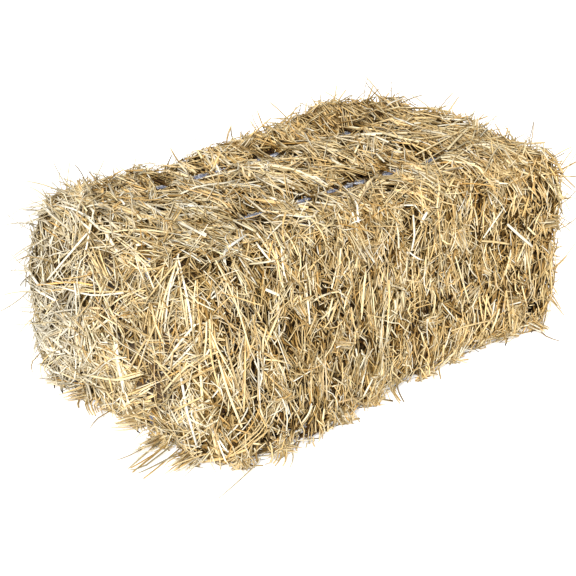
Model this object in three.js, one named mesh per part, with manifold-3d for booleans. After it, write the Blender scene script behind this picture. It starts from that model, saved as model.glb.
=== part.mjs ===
// A small rectangular bale of straw: a row of pressed flakes, tied lengthwise with two loops of twine.
// Millimetres, +Z up, +X along the bale. The origin is the middle of the underside.
import * as THREE from "three";
import { mergeVertices } from "three/addons/utils/BufferGeometryUtils.js";
import Module from "manifold-3d";

const wasm = await Module();
wasm.setup();

// The bale, measured to the mean surface of the straw
const BALE_LENGTH = 900;
const BALE_WIDTH = 455;
const BALE_HEIGHT = 368;
const CORNER_RADIUS = 36;

// How far the foot of the bale has spread: a little all round, and most on its -Y side near the -X end
const FOOT_SPREAD = 12;
const SLUMP = 85;
const SLUMP_X = -370;
const SLUMP_TO_END = 90;
const SLUMP_ALONG = 340;

// Where loose straw has swelled or sunk: the middle, the reach and the most that it moves, along each axis
const SWELLINGS = [
  { middle: [235, 205, BALE_HEIGHT], reach: [180, 72, 200], move: [0, 0, 32] },
  { middle: [-395, 190, BALE_HEIGHT], reach: [80, 85, 200], move: [0, 0, 11] },
  { middle: [430, -200, BALE_HEIGHT], reach: [120, 90, 60], move: [0, 0, -10] },
  { middle: [-450, BALE_WIDTH / 2, 190], reach: [130, 110, 120], move: [-10, 34, 0] },
  { middle: [450, -BALE_WIDTH / 2, 285], reach: [90, 90, 85], move: [0, -24, 0] },
];

// The flakes are the wads that each stroke of the press adds
const FLAKES = 11;
const FLAKE_GAP = 0.3;
const THICKNESS_VARIATION = 0.1;
const SIDE_STEPS = 5;
const TOP_STEPS = 6;
const SEAM_DEPTH = 5;
const END_ROUNDING = 22;
const CROWN = 16;
const END_LUMP = 5;

// The twine runs round the top, both ends and the underside
const TWINE_DIAMETER = 5;
const TWINE_SPACING = 226;
const TWINE_OFFSET = 20;
const TWINE_SIDES = 6;
const TWINE_CORNER = 42;
const CORNER_STEPS = 4;
const TWINE_BITE = 9;
const TWINE_CLEARANCE = 0.4;
const TWINE_Y = [TWINE_OFFSET - TWINE_SPACING / 2, TWINE_OFFSET + TWINE_SPACING / 2];
const TWINE_END = BALE_LENGTH / 2 + CROWN - TWINE_BITE - TWINE_DIAMETER / 2;

// The knots sit on the +X end face
const KNOT_HEIGHT = 235;
const KNOT_RADIUS = 6;
const KNOT_TWINE = 4.4;
const KNOT_OUT = 3;
const KNOT_TILT = 0.5;
const KNOT_HOLLOW = 22;
const TAIL_LENGTH = 40;
const TAIL_STEPS = 4;

// Tufts of straw that stick out of the flakes
const TUFTS_PER_FLAKE = 4;
const TUFTS_PER_END = 8;
const TUFTS_PER_FOOT = 6;
const TUFT_ROOT = 26;
const TUFT_RADIUS = 13;
const TUFT_SIDES = 4;
const TUFT_FLATNESS = 0.45;
const TUFT_FULLNESS = 1.7;
const TUFT_BEND = 0.08;
const FOOT_HEIGHT = 14;
const SLUMPED_WISP = 70;
const GOLDEN_ANGLE = 2.39996;

const straw = new THREE.MeshStandardMaterial({ color: 0xcfae72, roughness: 0.8, metalness: 0 });
const darkStraw = new THREE.MeshStandardMaterial({ color: 0xb8935a, roughness: 0.85, metalness: 0 });
const twine = new THREE.MeshStandardMaterial({ color: 0x4b4f73, roughness: 0.55, metalness: 0 });

const fraction = (value) => value - Math.floor(value);
const { clamp, lerp } = THREE.MathUtils;

// A closed mesh as a solid
function solidOf(geometry) {
  const bare = geometry.clone();
  bare.deleteAttribute("normal");
  bare.deleteAttribute("uv");
  const merged = mergeVertices(bare, 1e-3);
  return new wasm.Manifold(
    new wasm.Mesh({
      numProp: 3,
      vertProperties: new Float32Array(merged.attributes.position.array),
      triVerts: new Uint32Array(merged.index.array),
    }),
  );
}

// A solid back as a flat-shaded mesh
function geometryOf(solid) {
  const mesh = solid.getMesh();
  const geometry = new THREE.BufferGeometry();
  geometry.setAttribute("position", new THREE.BufferAttribute(mesh.vertProperties, mesh.numProp));
  geometry.setIndex(new THREE.BufferAttribute(mesh.triVerts, 1));
  const flat = geometry.toNonIndexed();
  flat.computeVertexNormals();
  return flat;
}

// The largest body of a solid, without the tips that a channel cuts off a tuft
function mainBody(solid) {
  return solid.decompose().sort((a, b) => b.volume() - a.volume())[0];
}

function namedMesh(name, solid, material) {
  const mesh = new THREE.Mesh(geometryOf(solid), material);
  mesh.name = name;
  return mesh;
}

// Where each flake ends along the bale: FLAKES + 1 planes, an even row with a little variation
function flakePlanes() {
  const thickness = Array.from({ length: FLAKES }, (_, i) => 1 + THICKNESS_VARIATION * Math.sin(2.4 * i + 1));
  const total = thickness.reduce((sum, t) => sum + t, 0);
  const planes = [-BALE_LENGTH / 2];
  for (const t of thickness) planes.push(planes.at(-1) + (t / total) * BALE_LENGTH);
  return planes;
}

// The outline of the bale across its length: three points round each corner and even steps along each face
function baleOutline() {
  const [right, up] = [BALE_WIDTH / 2 - CORNER_RADIUS, BALE_HEIGHT / 2 - CORNER_RADIUS];
  const signs = [[1, -1], [1, 1], [-1, 1], [-1, -1]];
  const corners = signs.map(([a, b]) => new THREE.Vector2(a * right, b * up));
  const points = [];
  const place = (at, normal) => {
    const p = at.clone().addScaledVector(normal, CORNER_RADIUS);
    points.push({ y: p.x, z: BALE_HEIGHT / 2 + p.y, normal });
  };
  corners.forEach((corner, i) => {
    const facing = (turn) => new THREE.Vector2(Math.cos(turn), Math.sin(turn));
    const steps = i % 2 ? TOP_STEPS : SIDE_STEPS;
    for (const quarter of [-1, -0.5]) place(corner, facing(((i + quarter) * Math.PI) / 2));
    for (let k = 0; k < steps; k++) {
      place(corner.clone().lerp(corners[(i + 1) % 4], k / steps), facing((i * Math.PI) / 2));
    }
  });
  return points;
}

const bell = (value, at, reach) => Math.exp(-(((value - at) / reach) ** 2));

// A point of the straight bale, moved to where the straw has settled
function settled(point) {
  const { x, y, z } = point;
  const slumped = y < 0 ? SLUMP * bell(x, SLUMP_X, x < SLUMP_X ? SLUMP_TO_END : SLUMP_ALONG) : 0;
  const lowness = clamp(1 - z / BALE_HEIGHT, 0, 1) ** 1.5;
  const place = new THREE.Vector3(x, y * (1 + ((FOOT_SPREAD + slumped) / (BALE_WIDTH / 2)) * lowness), z);
  for (const { middle, reach, move } of SWELLINGS) {
    const shares = [x, y, z].map((value, axis) => bell(value, middle[axis], reach[axis]));
    const share = shares.reduce((product, one) => product * one, 1);
    place.addScaledVector(new THREE.Vector3(...move), share);
  }
  return place;
}

// How far the straw stands out from the outline: it swells between the strings and is drawn in under them
function swell(y, z, flake) {
  const side = Math.abs(y) / (BALE_WIDTH / 2);
  const height = z / BALE_HEIGHT;
  const drawnIn = TWINE_Y.reduce((sum, at) => sum + Math.exp(-(((y - at) / 30) ** 2)), 0);
  const face = side < 0.85 ? 5 * Math.cos((side * Math.PI) / 2) - 6 * drawnIn : 4 * Math.sin(height * Math.PI);
  const proud = 2.5 * Math.sin(3.1 * flake + 0.8);
  const lumps =
    2.8 * Math.sin(0.021 * y + 1.9 * flake + 0.6) +
    2.6 * Math.sin(0.034 * z - 2.7 * flake) +
    2 * Math.sin(0.052 * (y - z) + 4.3 * flake);
  return face + proud + lumps;
}

// How far an end face is dented in or out at a point
const faceLump = (y, z) => END_LUMP * Math.sin(0.024 * y + 1.1) * Math.sin(0.028 * z + 0.5);

// The rings of a flake along the bale, from one plane to the other. Its rim swells between the planes
function flakeRings(index, planes) {
  const back = planes[index] + FLAKE_GAP / 2;
  const front = planes[index + 1] - FLAKE_GAP / 2;
  const end = { 0: -1, [FLAKES - 1]: 1 }[index] ?? 0;
  const rim = [0, 0.18, 0.5, 0.82, 1].map((at) => ({
    x: lerp(back, front, at),
    inset: lerp(-2, SEAM_DEPTH, Math.abs(2 * at - 1) ** 2.5),
    scale: 1,
  }));
  if (!end) return { rings: rim, end };

  const plane = end < 0 ? back : front;
  const rounding = [0, 35, 60, 85].map(THREE.MathUtils.degToRad).map((angle) => ({
    x: plane - end * END_ROUNDING * (1 - Math.sin(angle)),
    inset: END_ROUNDING * (1 - Math.cos(angle)),
    scale: 1,
  }));
  const crown = [0.72, 0.4].map((scale) => ({
    x: plane + end * CROWN * (1 - scale ** 3),
    inset: 0,
    scale,
  }));
  const inner = end < 0 ? rim.slice(3).reverse() : rim.slice(0, 2);
  const rings = [...inner, ...rounding, ...crown];
  return { rings: end < 0 ? rings.reverse() : rings, end };
}

// One pressed flake between two planes. An end flake is rounded and crowned on its outer face
function flakeSolid(index, planes, outline) {
  const { rings, end } = flakeRings(index, planes);
  const positions = [];
  for (const { x, inset, scale } of rings) {
    for (const { y, z, normal } of outline) {
      const out = (swell(y, z, index) - inset) * scale ** 3;
      const ringZ = lerp(BALE_HEIGHT / 2, z + normal.y * out, scale);
      const onFace = (1 - scale ** 3) * faceLump(y * scale, ringZ);
      const onFloor = z < 1 && scale === 1 && inset <= SEAM_DEPTH;
      const height = onFloor ? 0 : Math.max(0, ringZ);
      positions.push(...settled({ x: x + onFace, y: (y + normal.x * out) * scale, z: height }));
    }
  }
  for (const [ring, side] of [[rings[0], -1], [rings.at(-1), 1]]) {
    const outward = side === end ? end * CROWN * ring.scale ** 3 + faceLump(0, BALE_HEIGHT / 2) : 0;
    positions.push(...settled({ x: ring.x + outward, y: 0, z: BALE_HEIGHT / 2 }));
  }

  const indices = [];
  const around = outline.length;
  const middles = rings.length * around;
  for (let j = 0; j < around; j++) {
    const next = (j + 1) % around;
    for (let r = 0; r + 1 < rings.length; r++) {
      const [a, b, c, d] = [r * around + j, r * around + next, (r + 1) * around + next, (r + 1) * around + j];
      indices.push(a, b, c, a, c, d);
    }
    const last = (rings.length - 1) * around;
    indices.push(middles, next, j);
    indices.push(middles + 1, last + j, last + next);
  }
  const geometry = new THREE.BufferGeometry();
  geometry.setAttribute("position", new THREE.Float32BufferAttribute(positions, 3));
  geometry.setIndex(indices);
  return solidOf(geometry);
}

// A bent, flattened, tapering tuft of straw with its root under the surface
function tuftSolid({ root, direction, length }) {
  const full = length + TUFT_ROOT;
  const cone = new THREE.ConeGeometry(TUFT_RADIUS, full, TUFT_SIDES, 2);
  cone.translate(0, full / 2, 0);
  const position = cone.getAttribute("position");
  for (let i = 0; i < position.count; i++) {
    const along = position.getY(i) / full;
    const fuller = along > 0.1 && along < 0.9 ? TUFT_FULLNESS : 1;
    position.setX(i, position.getX(i) * fuller);
    position.setZ(i, position.getZ(i) * fuller * TUFT_FLATNESS + TUFT_BEND * full * along ** 2);
  }
  cone.applyQuaternion(new THREE.Quaternion().setFromUnitVectors(new THREE.Vector3(0, 1, 0), direction));
  const start = root.clone().addScaledVector(direction, -TUFT_ROOT);
  cone.translate(start.x, start.y, start.z);
  return solidOf(cone);
}

// Tufts up both sides and across the top of a flake, at places that shift from flake to flake
function rimTufts(index, planes) {
  const sideHeight = BALE_HEIGHT - 2 * CORNER_RADIUS;
  const topWidth = BALE_WIDTH - 2 * CORNER_RADIUS;
  const path = 2 * sideHeight + topWidth;
  return Array.from({ length: TUFTS_PER_FLAKE }, (_, k) => {
    const along = ((k + fraction(0.618 * (index + 1))) / TUFTS_PER_FLAKE) * path;
    const turn = 0.7 * Math.sin(5.1 * index + 2.3 * k);
    const x = lerp(planes[index], planes[index + 1], 0.5);
    const length = lerp(16, 42, fraction(0.755 * (7 * index + k)));
    const onSide = along < sideHeight || along > sideHeight + topWidth;
    const side = along < sideHeight ? -1 : 1;
    const height = CORNER_RADIUS + (side < 0 ? along : path - along);
    const root = onSide
      ? new THREE.Vector3(x, (side * BALE_WIDTH) / 2, height)
      : new THREE.Vector3(x, along - path / 2, BALE_HEIGHT);
    const [across, up] = onSide ? [side, turn] : [turn, 1];
    const direction = new THREE.Vector3(0.25 * turn, across, up);
    return { root: settled(root), direction: direction.normalize(), length };
  });
}

// Tufts over an end face, in a sunflower pattern, splayed outwards
function endTufts(end) {
  return Array.from({ length: TUFTS_PER_END }, (_, k) => {
    const radius = Math.sqrt((k + 0.5) / TUFTS_PER_END);
    const angle = GOLDEN_ANGLE * k + (end > 0 ? 1 : 0);
    const [across, up] = [radius * Math.cos(angle), radius * Math.sin(angle)];
    const root = new THREE.Vector3(
      end * (BALE_LENGTH / 2 + CROWN * (1 - radius ** 3)),
      0.42 * BALE_WIDTH * across,
      BALE_HEIGHT * (0.52 + 0.4 * up),
    );
    const direction = new THREE.Vector3(end, 0.8 * across, 0.8 * up - 0.1).normalize();
    return { root: settled(root), direction, length: lerp(18, 42, fraction(0.755 * k)) };
  });
}

// Tufts that lie on the ground round the foot of an end face. They reach furthest at the slumped corner
function footTufts(end) {
  return Array.from({ length: TUFTS_PER_FOOT }, (_, k) => {
    const across = (2 * (k + 0.5)) / TUFTS_PER_FOOT - 1;
    const root = new THREE.Vector3(end * (BALE_LENGTH / 2 - 8), 0.45 * BALE_WIDTH * across, FOOT_HEIGHT);
    const direction = new THREE.Vector3(end, 0.7 * across ** 3 + 0.2 * Math.sin(4 * k), -0.04).normalize();
    const slumped = end < 0 ? Math.max(0, -across) : 0;
    const length = lerp(34, 62, fraction(0.618 * k + 0.3)) + SLUMPED_WISP * slumped;
    return { root: settled(root), direction, length };
  });
}

// A wisp that lies on the ground at the foot of one long side of a flake
function sideWisp(index, planes) {
  const side = index % 3 === 2 ? 1 : -1;
  const x = lerp(planes[index], planes[index + 1], 0.4);
  const root = new THREE.Vector3(x, side * (BALE_WIDTH / 2 - 8), FOOT_HEIGHT);
  const direction = new THREE.Vector3(0.6 * Math.sin(1.7 * index - 1), side, -0.05).normalize();
  return { root: settled(root), direction, length: lerp(18, 52, fraction(0.618 * index + 0.7)) };
}

// A loop round the bale in the plane of X and Z, inset from the outer side of the twine
function twineTrack(inset) {
  const half = TWINE_END + TWINE_DIAMETER / 2 - inset;
  const low = TWINE_CLEARANCE + inset;
  const high = BALE_HEIGHT - TWINE_BITE - inset;
  const radius = TWINE_CORNER - inset;
  const path = new THREE.Path();
  path.moveTo(-half + radius, low);
  path.absarc(half - radius, low + radius, radius, -Math.PI / 2, 0);
  path.absarc(half - radius, high - radius, radius, 0, Math.PI / 2);
  path.absarc(-half + radius, high - radius, radius, Math.PI / 2, Math.PI);
  path.absarc(-half + radius, low + radius, radius, Math.PI, 1.5 * Math.PI);
  return path;
}

// The channel that a string has pressed into the straw: everything outside its inner side
function twineChannel(y) {
  const reach = 200;
  const [x, low, high] = [BALE_LENGTH / 2 + reach, -reach, BALE_HEIGHT + reach];
  const plate = new THREE.Shape([
    new THREE.Vector2(-x, low),
    new THREE.Vector2(x, low),
    new THREE.Vector2(x, high),
    new THREE.Vector2(-x, high),
  ]);
  plate.holes.push(twineTrack(TWINE_DIAMETER + TWINE_CLEARANCE));
  const width = TWINE_DIAMETER + 2 * TWINE_CLEARANCE;
  const channel = new THREE.ExtrudeGeometry(plate, {
    depth: width,
    bevelEnabled: false,
    curveSegments: CORNER_STEPS,
  });
  channel.rotateX(Math.PI / 2);
  channel.translate(0, y + width / 2, 0);
  return solidOf(channel);
}

// The closed tube of a string, with a ring of points round each point of its loop
function loopSolid(y) {
  const centres = twineTrack(TWINE_DIAMETER / 2).getPoints(CORNER_STEPS).slice(1);
  const loop = centres.filter((p, i) => p.distanceTo(centres.at(i - 1)) > 0.01);
  const positions = [];
  const indices = [];
  loop.forEach((point, i) => {
    const before = point.clone().sub(loop.at(i - 1)).normalize();
    const after = loop[(i + 1) % loop.length].clone().sub(point).normalize();
    const heading = before.add(after).normalize();
    const outward = new THREE.Vector2(heading.y, -heading.x);
    for (let k = 0; k < TWINE_SIDES; k++) {
      const angle = ((k + 0.5) / TWINE_SIDES) * 2 * Math.PI;
      const out = (Math.cos(angle) * TWINE_DIAMETER) / 2;
      const across = (Math.sin(angle) * TWINE_DIAMETER) / 2;
      positions.push(point.x + outward.x * out, y + across, point.y + outward.y * out);
      const [ring, next] = [i * TWINE_SIDES, ((i + 1) % loop.length) * TWINE_SIDES];
      const turn = (k + 1) % TWINE_SIDES;
      indices.push(ring + k, ring + turn, next + turn, ring + k, next + turn, next + k);
    }
  });
  const geometry = new THREE.BufferGeometry();
  geometry.setAttribute("position", new THREE.Float32BufferAttribute(positions, 3));
  geometry.setIndex(indices);
  return solidOf(geometry);
}

// A bent length of twine through a few points
function lengthOfTwine(points) {
  const section = new THREE.Shape().absarc(0, 0, KNOT_TWINE / 2, 0, 2 * Math.PI);
  const extrudePath = new THREE.CatmullRomCurve3(points.map((p) => new THREE.Vector3(...p)));
  return solidOf(new THREE.ExtrudeGeometry(section, { steps: TAIL_STEPS, extrudePath, curveSegments: 3 }));
}

// The middle of a string's knot
const knotAt = (y) => new THREE.Vector3(TWINE_END + KNOT_OUT, y, KNOT_HEIGHT);

// One string: its loop, the knot's turn round the twine and the two cut tails
function twineSolid(y) {
  const { x } = knotAt(y);
  const turn = new THREE.TorusGeometry(KNOT_RADIUS, KNOT_TWINE / 2, 5, 8);
  turn.rotateX(KNOT_TILT);
  turn.translate(x, y, KNOT_HEIGHT);
  const tails = [1, -1].map((way) => {
    const bend = [x + 0.35 * TAIL_LENGTH, y + way * 0.35 * TAIL_LENGTH, KNOT_HEIGHT + 2];
    const out = (0.6 + 0.1 * way) * TAIL_LENGTH;
    const cutEnd = [x + out, y + way * 0.7 * TAIL_LENGTH, KNOT_HEIGHT - 0.35 * TAIL_LENGTH];
    return lengthOfTwine([[x, y, KNOT_HEIGHT], bend, cutEnd]);
  });
  return [solidOf(turn), ...tails].reduce((string, piece) => string.add(piece), loopSolid(y));
}

// The hollow that the straw leaves round a knot
function knotHollow(y) {
  const hollow = new THREE.SphereGeometry(KNOT_HOLLOW, 8, 6);
  hollow.translate(TWINE_END + KNOT_HOLLOW / 2, y, KNOT_HEIGHT);
  return solidOf(hollow);
}

const planes = flakePlanes();
const outline = baleOutline();
const cuts = [...TWINE_Y.map(twineChannel), ...TWINE_Y.map(knotHollow)];
const clearOfKnots = ({ root }) => TWINE_Y.every((y) => root.distanceTo(knotAt(y)) > 2.2 * KNOT_HOLLOW);
const bale = new THREE.Group();

for (let i = 0; i < FLAKES; i++) {
  const tufts = [...rimTufts(i, planes), sideWisp(i, planes)];
  if (i === 0) tufts.push(...endTufts(-1), ...footTufts(-1));
  if (i === FLAKES - 1) tufts.push(...endTufts(1).filter(clearOfKnots), ...footTufts(1));
  let solid = flakeSolid(i, planes, outline);
  for (const tuft of tufts) solid = solid.add(tuftSolid(tuft));
  for (const cut of cuts) solid = solid.subtract(cut);
  solid = solid.trimByPlane([0, 0, 1], 0);
  bale.add(namedMesh(`flake_${String(i + 1).padStart(2, "0")}`, mainBody(solid), i % 2 ? darkStraw : straw));
}
TWINE_Y.forEach((y, i) => bale.add(namedMesh(`twine_${i + 1}`, twineSolid(y), twine)));

export default bale;
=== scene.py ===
"""A small two-string straw bale, laid stem by stem round the flakes and strings of its CAD frame."""

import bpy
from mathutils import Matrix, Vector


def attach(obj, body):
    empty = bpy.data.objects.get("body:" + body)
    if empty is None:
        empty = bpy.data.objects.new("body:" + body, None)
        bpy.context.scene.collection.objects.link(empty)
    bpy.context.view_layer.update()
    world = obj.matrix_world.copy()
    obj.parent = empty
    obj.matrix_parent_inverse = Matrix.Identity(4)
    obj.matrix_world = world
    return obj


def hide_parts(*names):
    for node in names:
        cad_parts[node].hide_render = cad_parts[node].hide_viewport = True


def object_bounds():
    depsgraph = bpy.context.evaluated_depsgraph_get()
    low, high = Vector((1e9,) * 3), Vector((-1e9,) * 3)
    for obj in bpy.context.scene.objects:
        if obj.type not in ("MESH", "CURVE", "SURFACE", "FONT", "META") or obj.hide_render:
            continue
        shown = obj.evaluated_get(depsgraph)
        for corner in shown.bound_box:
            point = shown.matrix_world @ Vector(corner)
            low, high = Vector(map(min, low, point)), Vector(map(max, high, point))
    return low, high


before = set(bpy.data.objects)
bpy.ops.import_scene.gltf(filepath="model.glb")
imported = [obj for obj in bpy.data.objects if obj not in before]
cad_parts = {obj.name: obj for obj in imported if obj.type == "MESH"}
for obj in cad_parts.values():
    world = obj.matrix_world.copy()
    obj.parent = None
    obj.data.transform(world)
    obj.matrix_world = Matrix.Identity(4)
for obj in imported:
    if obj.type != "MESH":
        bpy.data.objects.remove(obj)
cad_box = [list(corner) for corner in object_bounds()]

import math

import bpy
import numpy as np
from mathutils import Vector
from mathutils.bvhtree import BVHTree

# The photograph's frame and the camera fitted to the corners of the bale in it
FRAME_PIXELS = 576
SENSOR = 36.0
LENS = 128.0
AZIMUTH = math.radians(-42.4)
ELEVATION = math.radians(22.3)
DISTANCE = 3.9
AIM_HEIGHT = 0.178
AIM_RIGHT = -0.032
AIM_UP = -0.043
CLIP_END = 60

# The studio's floor, its even light and its key light
FLOOR_HALF = 9.0
FLOOR_PAINT = (0.95, 0.95, 0.95)
FLOOR_ROUGHNESS = 0.9
FLOOR_GLOW = 0.45
SKY_POWER = 0.72
KEY_DIRECTION = (-0.66, -0.58, 0.52)
KEY_SPREAD = math.radians(8)
KEY_POWER = 3.65

# The middle of the bale, how far stems stay off the floor, and how far they may pass the box of the CAD frame
BALE_MIDDLE = np.array([0.0, 0.0, 0.184])
FLOOR_GAP = 0.0006
OVER_BOX = np.array([0.032, 0.024, 0.016])

# What the flakes at the -X end, at the +X end and between them get: triangles of straw, stems that stray from
# the surface and hang from the edges, and how many stems lie in a bundle
LEFT_FLAKE = {"triangles": 160000, "strays": 1100, "edges": 200, "bundle": 12}
RIGHT_FLAKE = {"triangles": 135000, "strays": 1100, "edges": 200, "bundle": 12}
OTHER_FLAKE = {"triangles": 72000, "strays": 340, "edges": 80, "bundle": 8}
FLAKE_SEED = 700

# How a flake's faces are told apart: its tufts, its seams with the next flakes and the walls inside the bale
TUFT_FOOT = 0.022
TUFT_LENGTH = 0.012
END_FLAKE_MIDDLE = 0.35
SQUARE_ON = 0.9
SEAM_GAP = 0.005
INNER_WALL = 0.17

# Straw colours, as sRGB, and how common each is at the -X end and at the +X end
TONES = {
    "gold": {"rgb": (226, 198, 144), "left": 0.14, "right": 0.38},
    "pale": {"rgb": (238, 219, 174), "left": 0.30, "right": 0.20},
    "bleached": {"rgb": (247, 238, 214), "left": 0.41, "right": 0.08},
    "tan": {"rgb": (204, 170, 112), "left": 0.08, "right": 0.20},
    "orange": {"rgb": (218, 176, 108), "left": 0.02, "right": 0.08},
    "grey": {"rgb": (180, 158, 118), "left": 0.05, "right": 0.05},
}
OWN_TONE = (0.35, 1.0)

# How near tones are to those of the +X end, along the bale and across its -X end: the value at the start and
# the change by the metre, with their limits, and the way that the -X end faces
TONE_ALONG = (0.45, 0.6)
TONE_ALONG_LIMITS = (0.25, 1)
TONE_ACROSS = (0.15, -0.9)
TONE_ACROSS_LIMITS = (0, 0.5)
LEFT_END_FACING = -0.6

# The far corner of the -X end, bleached nearly white: where it starts along and across the bale, over what
# distance, and how strongly it is bleached
BLEACHED_WHITE = (250, 244, 228)
CORNER_X = -0.40
CORNER_X_REACH = 0.05
CORNER_Y = 0.02
CORNER_Y_REACH = 0.16
CORNER_SHARE = 0.70
CORNER_LEVEL = 0.6

# How bright stems are. The three values of painted light by face are for the top, the sides and the ends; it
# makes the top's stems a little lighter.
BRIGHTNESS = (0.06, 0.42)
BRIGHTNESS_LIMITS = (-1.1, 0.55)
BRIGHT_TINT = np.array([1.0, 1.10, 1.32])
BRIGHTEST = 0.92
PAINTED_FACE_LIGHT = (1.02, 1, 1)
LOOSE_BRIGHTNESS = 0.90
STEP_BRIGHTNESS = 0.05

# Painted shade: how stems are darkened towards the inside of the bale and on their own undersides, where
# shade falls
SHADE_DEPTH = 0.009
FULL_LIGHT = 0.003
DEEPEST_SHADE = 0.09
SHADE_TINT = np.array([1.0, 0.80, 0.46])
SHADE_WARMTH = 2.0
UNDERSIDE_SHADE = 0.32
UNDERSIDE_TINT = np.array([0.90, 1.04, 1.50])
LOOSE_UNDERSIDE_SHADE = 0.75
LIT_FROM = 0.35
COLOUR_LIMITS = (0.006, 0.98)

# The middles and half lengths, along the bale, of the stretches where straw leaves a string bare on top
BARE_ON_TOP = {
    "twine_1": [(-0.213, 0.022), (-0.092, 0.014), (-0.020, 0.010), (0.025, 0.012), (0.054, 0.010),
                (0.128, 0.016), (0.240, 0.013)],
    "twine_2": [(-0.238, 0.009), (-0.150, 0.011), (-0.095, 0.008), (-0.003, 0.009), (0.040, 0.008),
                (0.232, 0.010)],
}
# How low the straw lies there, how steeply it may rise before, behind and past a bare stretch, and how far
# from it that holds
BARE_HEIGHT = 0.0042
BARE_IN_FRONT = 0.42
BARE_BEHIND = 3.0
BARE_PAST = 2
BARE_REACH = 0.045
BARE_MARGIN = 0.0008

# The valley that a string presses into the top: how far its sides start over the string, and their slope
VALLEY_GAP = 0.004
VALLEY_SLOPE = 0.50

# The twine: its radius, the bend of its corners, how flat and swollen it is, the distance between its rings,
# and the pitch, sides, thinnest part, swelling and sRGB colours of its strands
TWINE_SEED = 90
TWINE_RADIUS = 0.0025
TWINE_BEND = 0.0395
TWINE_SPREAD = 2.1
TWINE_SWELL = 1.15
TWINE_STEP = 0.0034
CORNER_STEPS = 12
STRAND_PITCH = 0.024
STRAND_SIDES = 10
STRAND_LOBES = (0.74, 0.30)
STRAND_DARK = (36, 40, 62)
STRAND_LIGHT = (124, 130, 152)

# The loose slivers of film on a twine, their pale tones painted sheen
FIBRILS = 800
FIBRIL_LENGTH = (0.008, 0.026)
FIBRIL_RISE = (0.0004, 0.0030)
FIBRIL_WIDTH = (0.0008, 0.0026)
FIBRIL_THICKNESS = 0.00012
FIBRIL_STEPS = 4
FIBRIL_ROOT = 0.8
FIBRIL_TONE_POWER = 0.7
FIBRIL_DARK = (46, 50, 72)
FIBRIL_LIGHT = (232, 232, 234)

# The knot: how high it sits on the +X end and how far out, the straw kept clear of it, its size, the rope
# that it is made of, and the frayed end of its tails
KNOT_HEIGHT = 0.235
KNOT_OUT = 0.003
KNOT_GAP = 0.002
KNOT_CONE = 0.3
KNOT_REACH = 0.030
KNOT_SIZE = 0.0026
KNOT_STEPS = 60
TAIL_STEPS = 22
ROPE_RADIUS = 0.0021
ROPE_SIDES = 8
ROPE_PITCH = 0.016
TAIL_FIBRILS = 14
TAIL_END = slice(-3, None)


def linear(rgb):
    """An sRGB colour of 0 to 255 as linear light."""
    share = np.asarray(rgb, float) / 255
    return np.where(share <= 0.04045, share / 12.92, ((share + 0.055) / 1.055) ** 2.4)


def unit(vectors):
    """Each row at length 1."""
    return vectors / np.maximum(np.linalg.norm(vectors, axis=-1, keepdims=True), 1e-9)


def turned(first, second, angle):
    """The first of two directions that are square to each other, turned towards the second by an angle."""
    return np.cos(angle) * first + np.sin(angle) * second


def mixed(first, second, share):
    """A share of the second, and the rest of the first."""
    return first * (1 - share) + second * share


def placed(span, share):
    """The value at a share of a span, which is given as its start and its size."""
    start, size = span
    return start + size * share


def smooth_step(values):
    share = np.clip(values, 0, 1)
    return share * share * (3 - 2 * share)


def share_along(steps):
    """How far along a stem each of its steps is."""
    return np.linspace(0, 1, steps)[None, :, None]


def length_along(points):
    """How far along a line each of its points is."""
    return np.concatenate([[0], np.cumsum(np.linalg.norm(np.diff(points, axis=0), axis=1))])


def triangles_of(node):
    """A CAD node's corner points, merged where they meet, and its triangles."""
    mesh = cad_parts[node].data
    mesh.calc_loop_triangles()
    places = np.empty(3 * len(mesh.vertices))
    mesh.vertices.foreach_get("co", places)
    corners = np.empty(3 * len(mesh.loop_triangles), np.int32)
    mesh.loop_triangles.foreach_get("vertices", corners)
    merged, inverse = np.unique(places.reshape(-1, 3).round(5), axis=0, return_inverse=True)
    triangles = inverse.reshape(-1)[corners].reshape(-1, 3)
    kept = (np.diff(np.sort(triangles, axis=1), axis=1) > 0).all(axis=1)
    return merged, triangles[kept]


def find_tufts(points, triangles):
    """The tips of a solid's tufts, each with the middle of the points next to it."""
    edges = np.concatenate([triangles[:, [0, 1]], triangles[:, [1, 2]], triangles[:, [2, 0]]])
    edges = np.unique(np.concatenate([edges, edges[:, ::-1]]), axis=0)
    tufts = []
    for tip in range(len(points)):
        near = points[edges[edges[:, 0] == tip, 1]]
        middle = near.mean(axis=0)
        slender = np.linalg.norm(near - middle, axis=1).max() < TUFT_FOOT
        away = points[tip] - middle
        outward = away @ (points[tip] - BALE_MIDDLE) > 0
        if slender and outward and np.linalg.norm(away) > TUFT_LENGTH:
            tufts.append((points[tip], middle, tip))
    return tufts


def read_flake(node):
    """The surface of a flake that straw is laid on, and its tufts."""
    points, triangles = triangles_of(node)
    tufts = find_tufts(points, triangles)
    a, b, c = (points[triangles[:, i]] for i in range(3))
    normal = unit(np.cross(b - a, c - a))
    middle = (a + b + c) / 3
    on_tuft = np.isin(triangles, [tip for _, _, tip in tufts]).any(axis=1)
    box = points[np.unique(triangles[~on_tuft])]
    low, high = box[:, 0].min(), box[:, 0].max()
    seam = np.abs(normal[:, 0]) > SQUARE_ON
    if abs(low + high) / 2 > END_FLAKE_MIDDLE:
        seam &= np.abs(middle[:, 0]) < min(abs(low), abs(high)) + SEAM_GAP
    inside_wall = (np.abs(normal[:, 1]) > SQUARE_ON) & (np.abs(middle[:, 1]) < INNER_WALL)
    skin = ~on_tuft & ~seam & ~inside_wall
    return {"points": points, "triangles": triangles[skin], "tufts": tufts, "low": low, "high": high}


FLAKES = {name: read_flake(name) for name in sorted(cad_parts) if name.startswith("flake")}


def whole_skin():
    """The surface of all the flakes together."""
    points, triangles, first = [], [], 0
    for flake in FLAKES.values():
        points.append(flake["points"])
        triangles.append(flake["triangles"] + first)
        first += len(flake["points"])
    return np.concatenate(points), np.concatenate(triangles)


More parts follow.
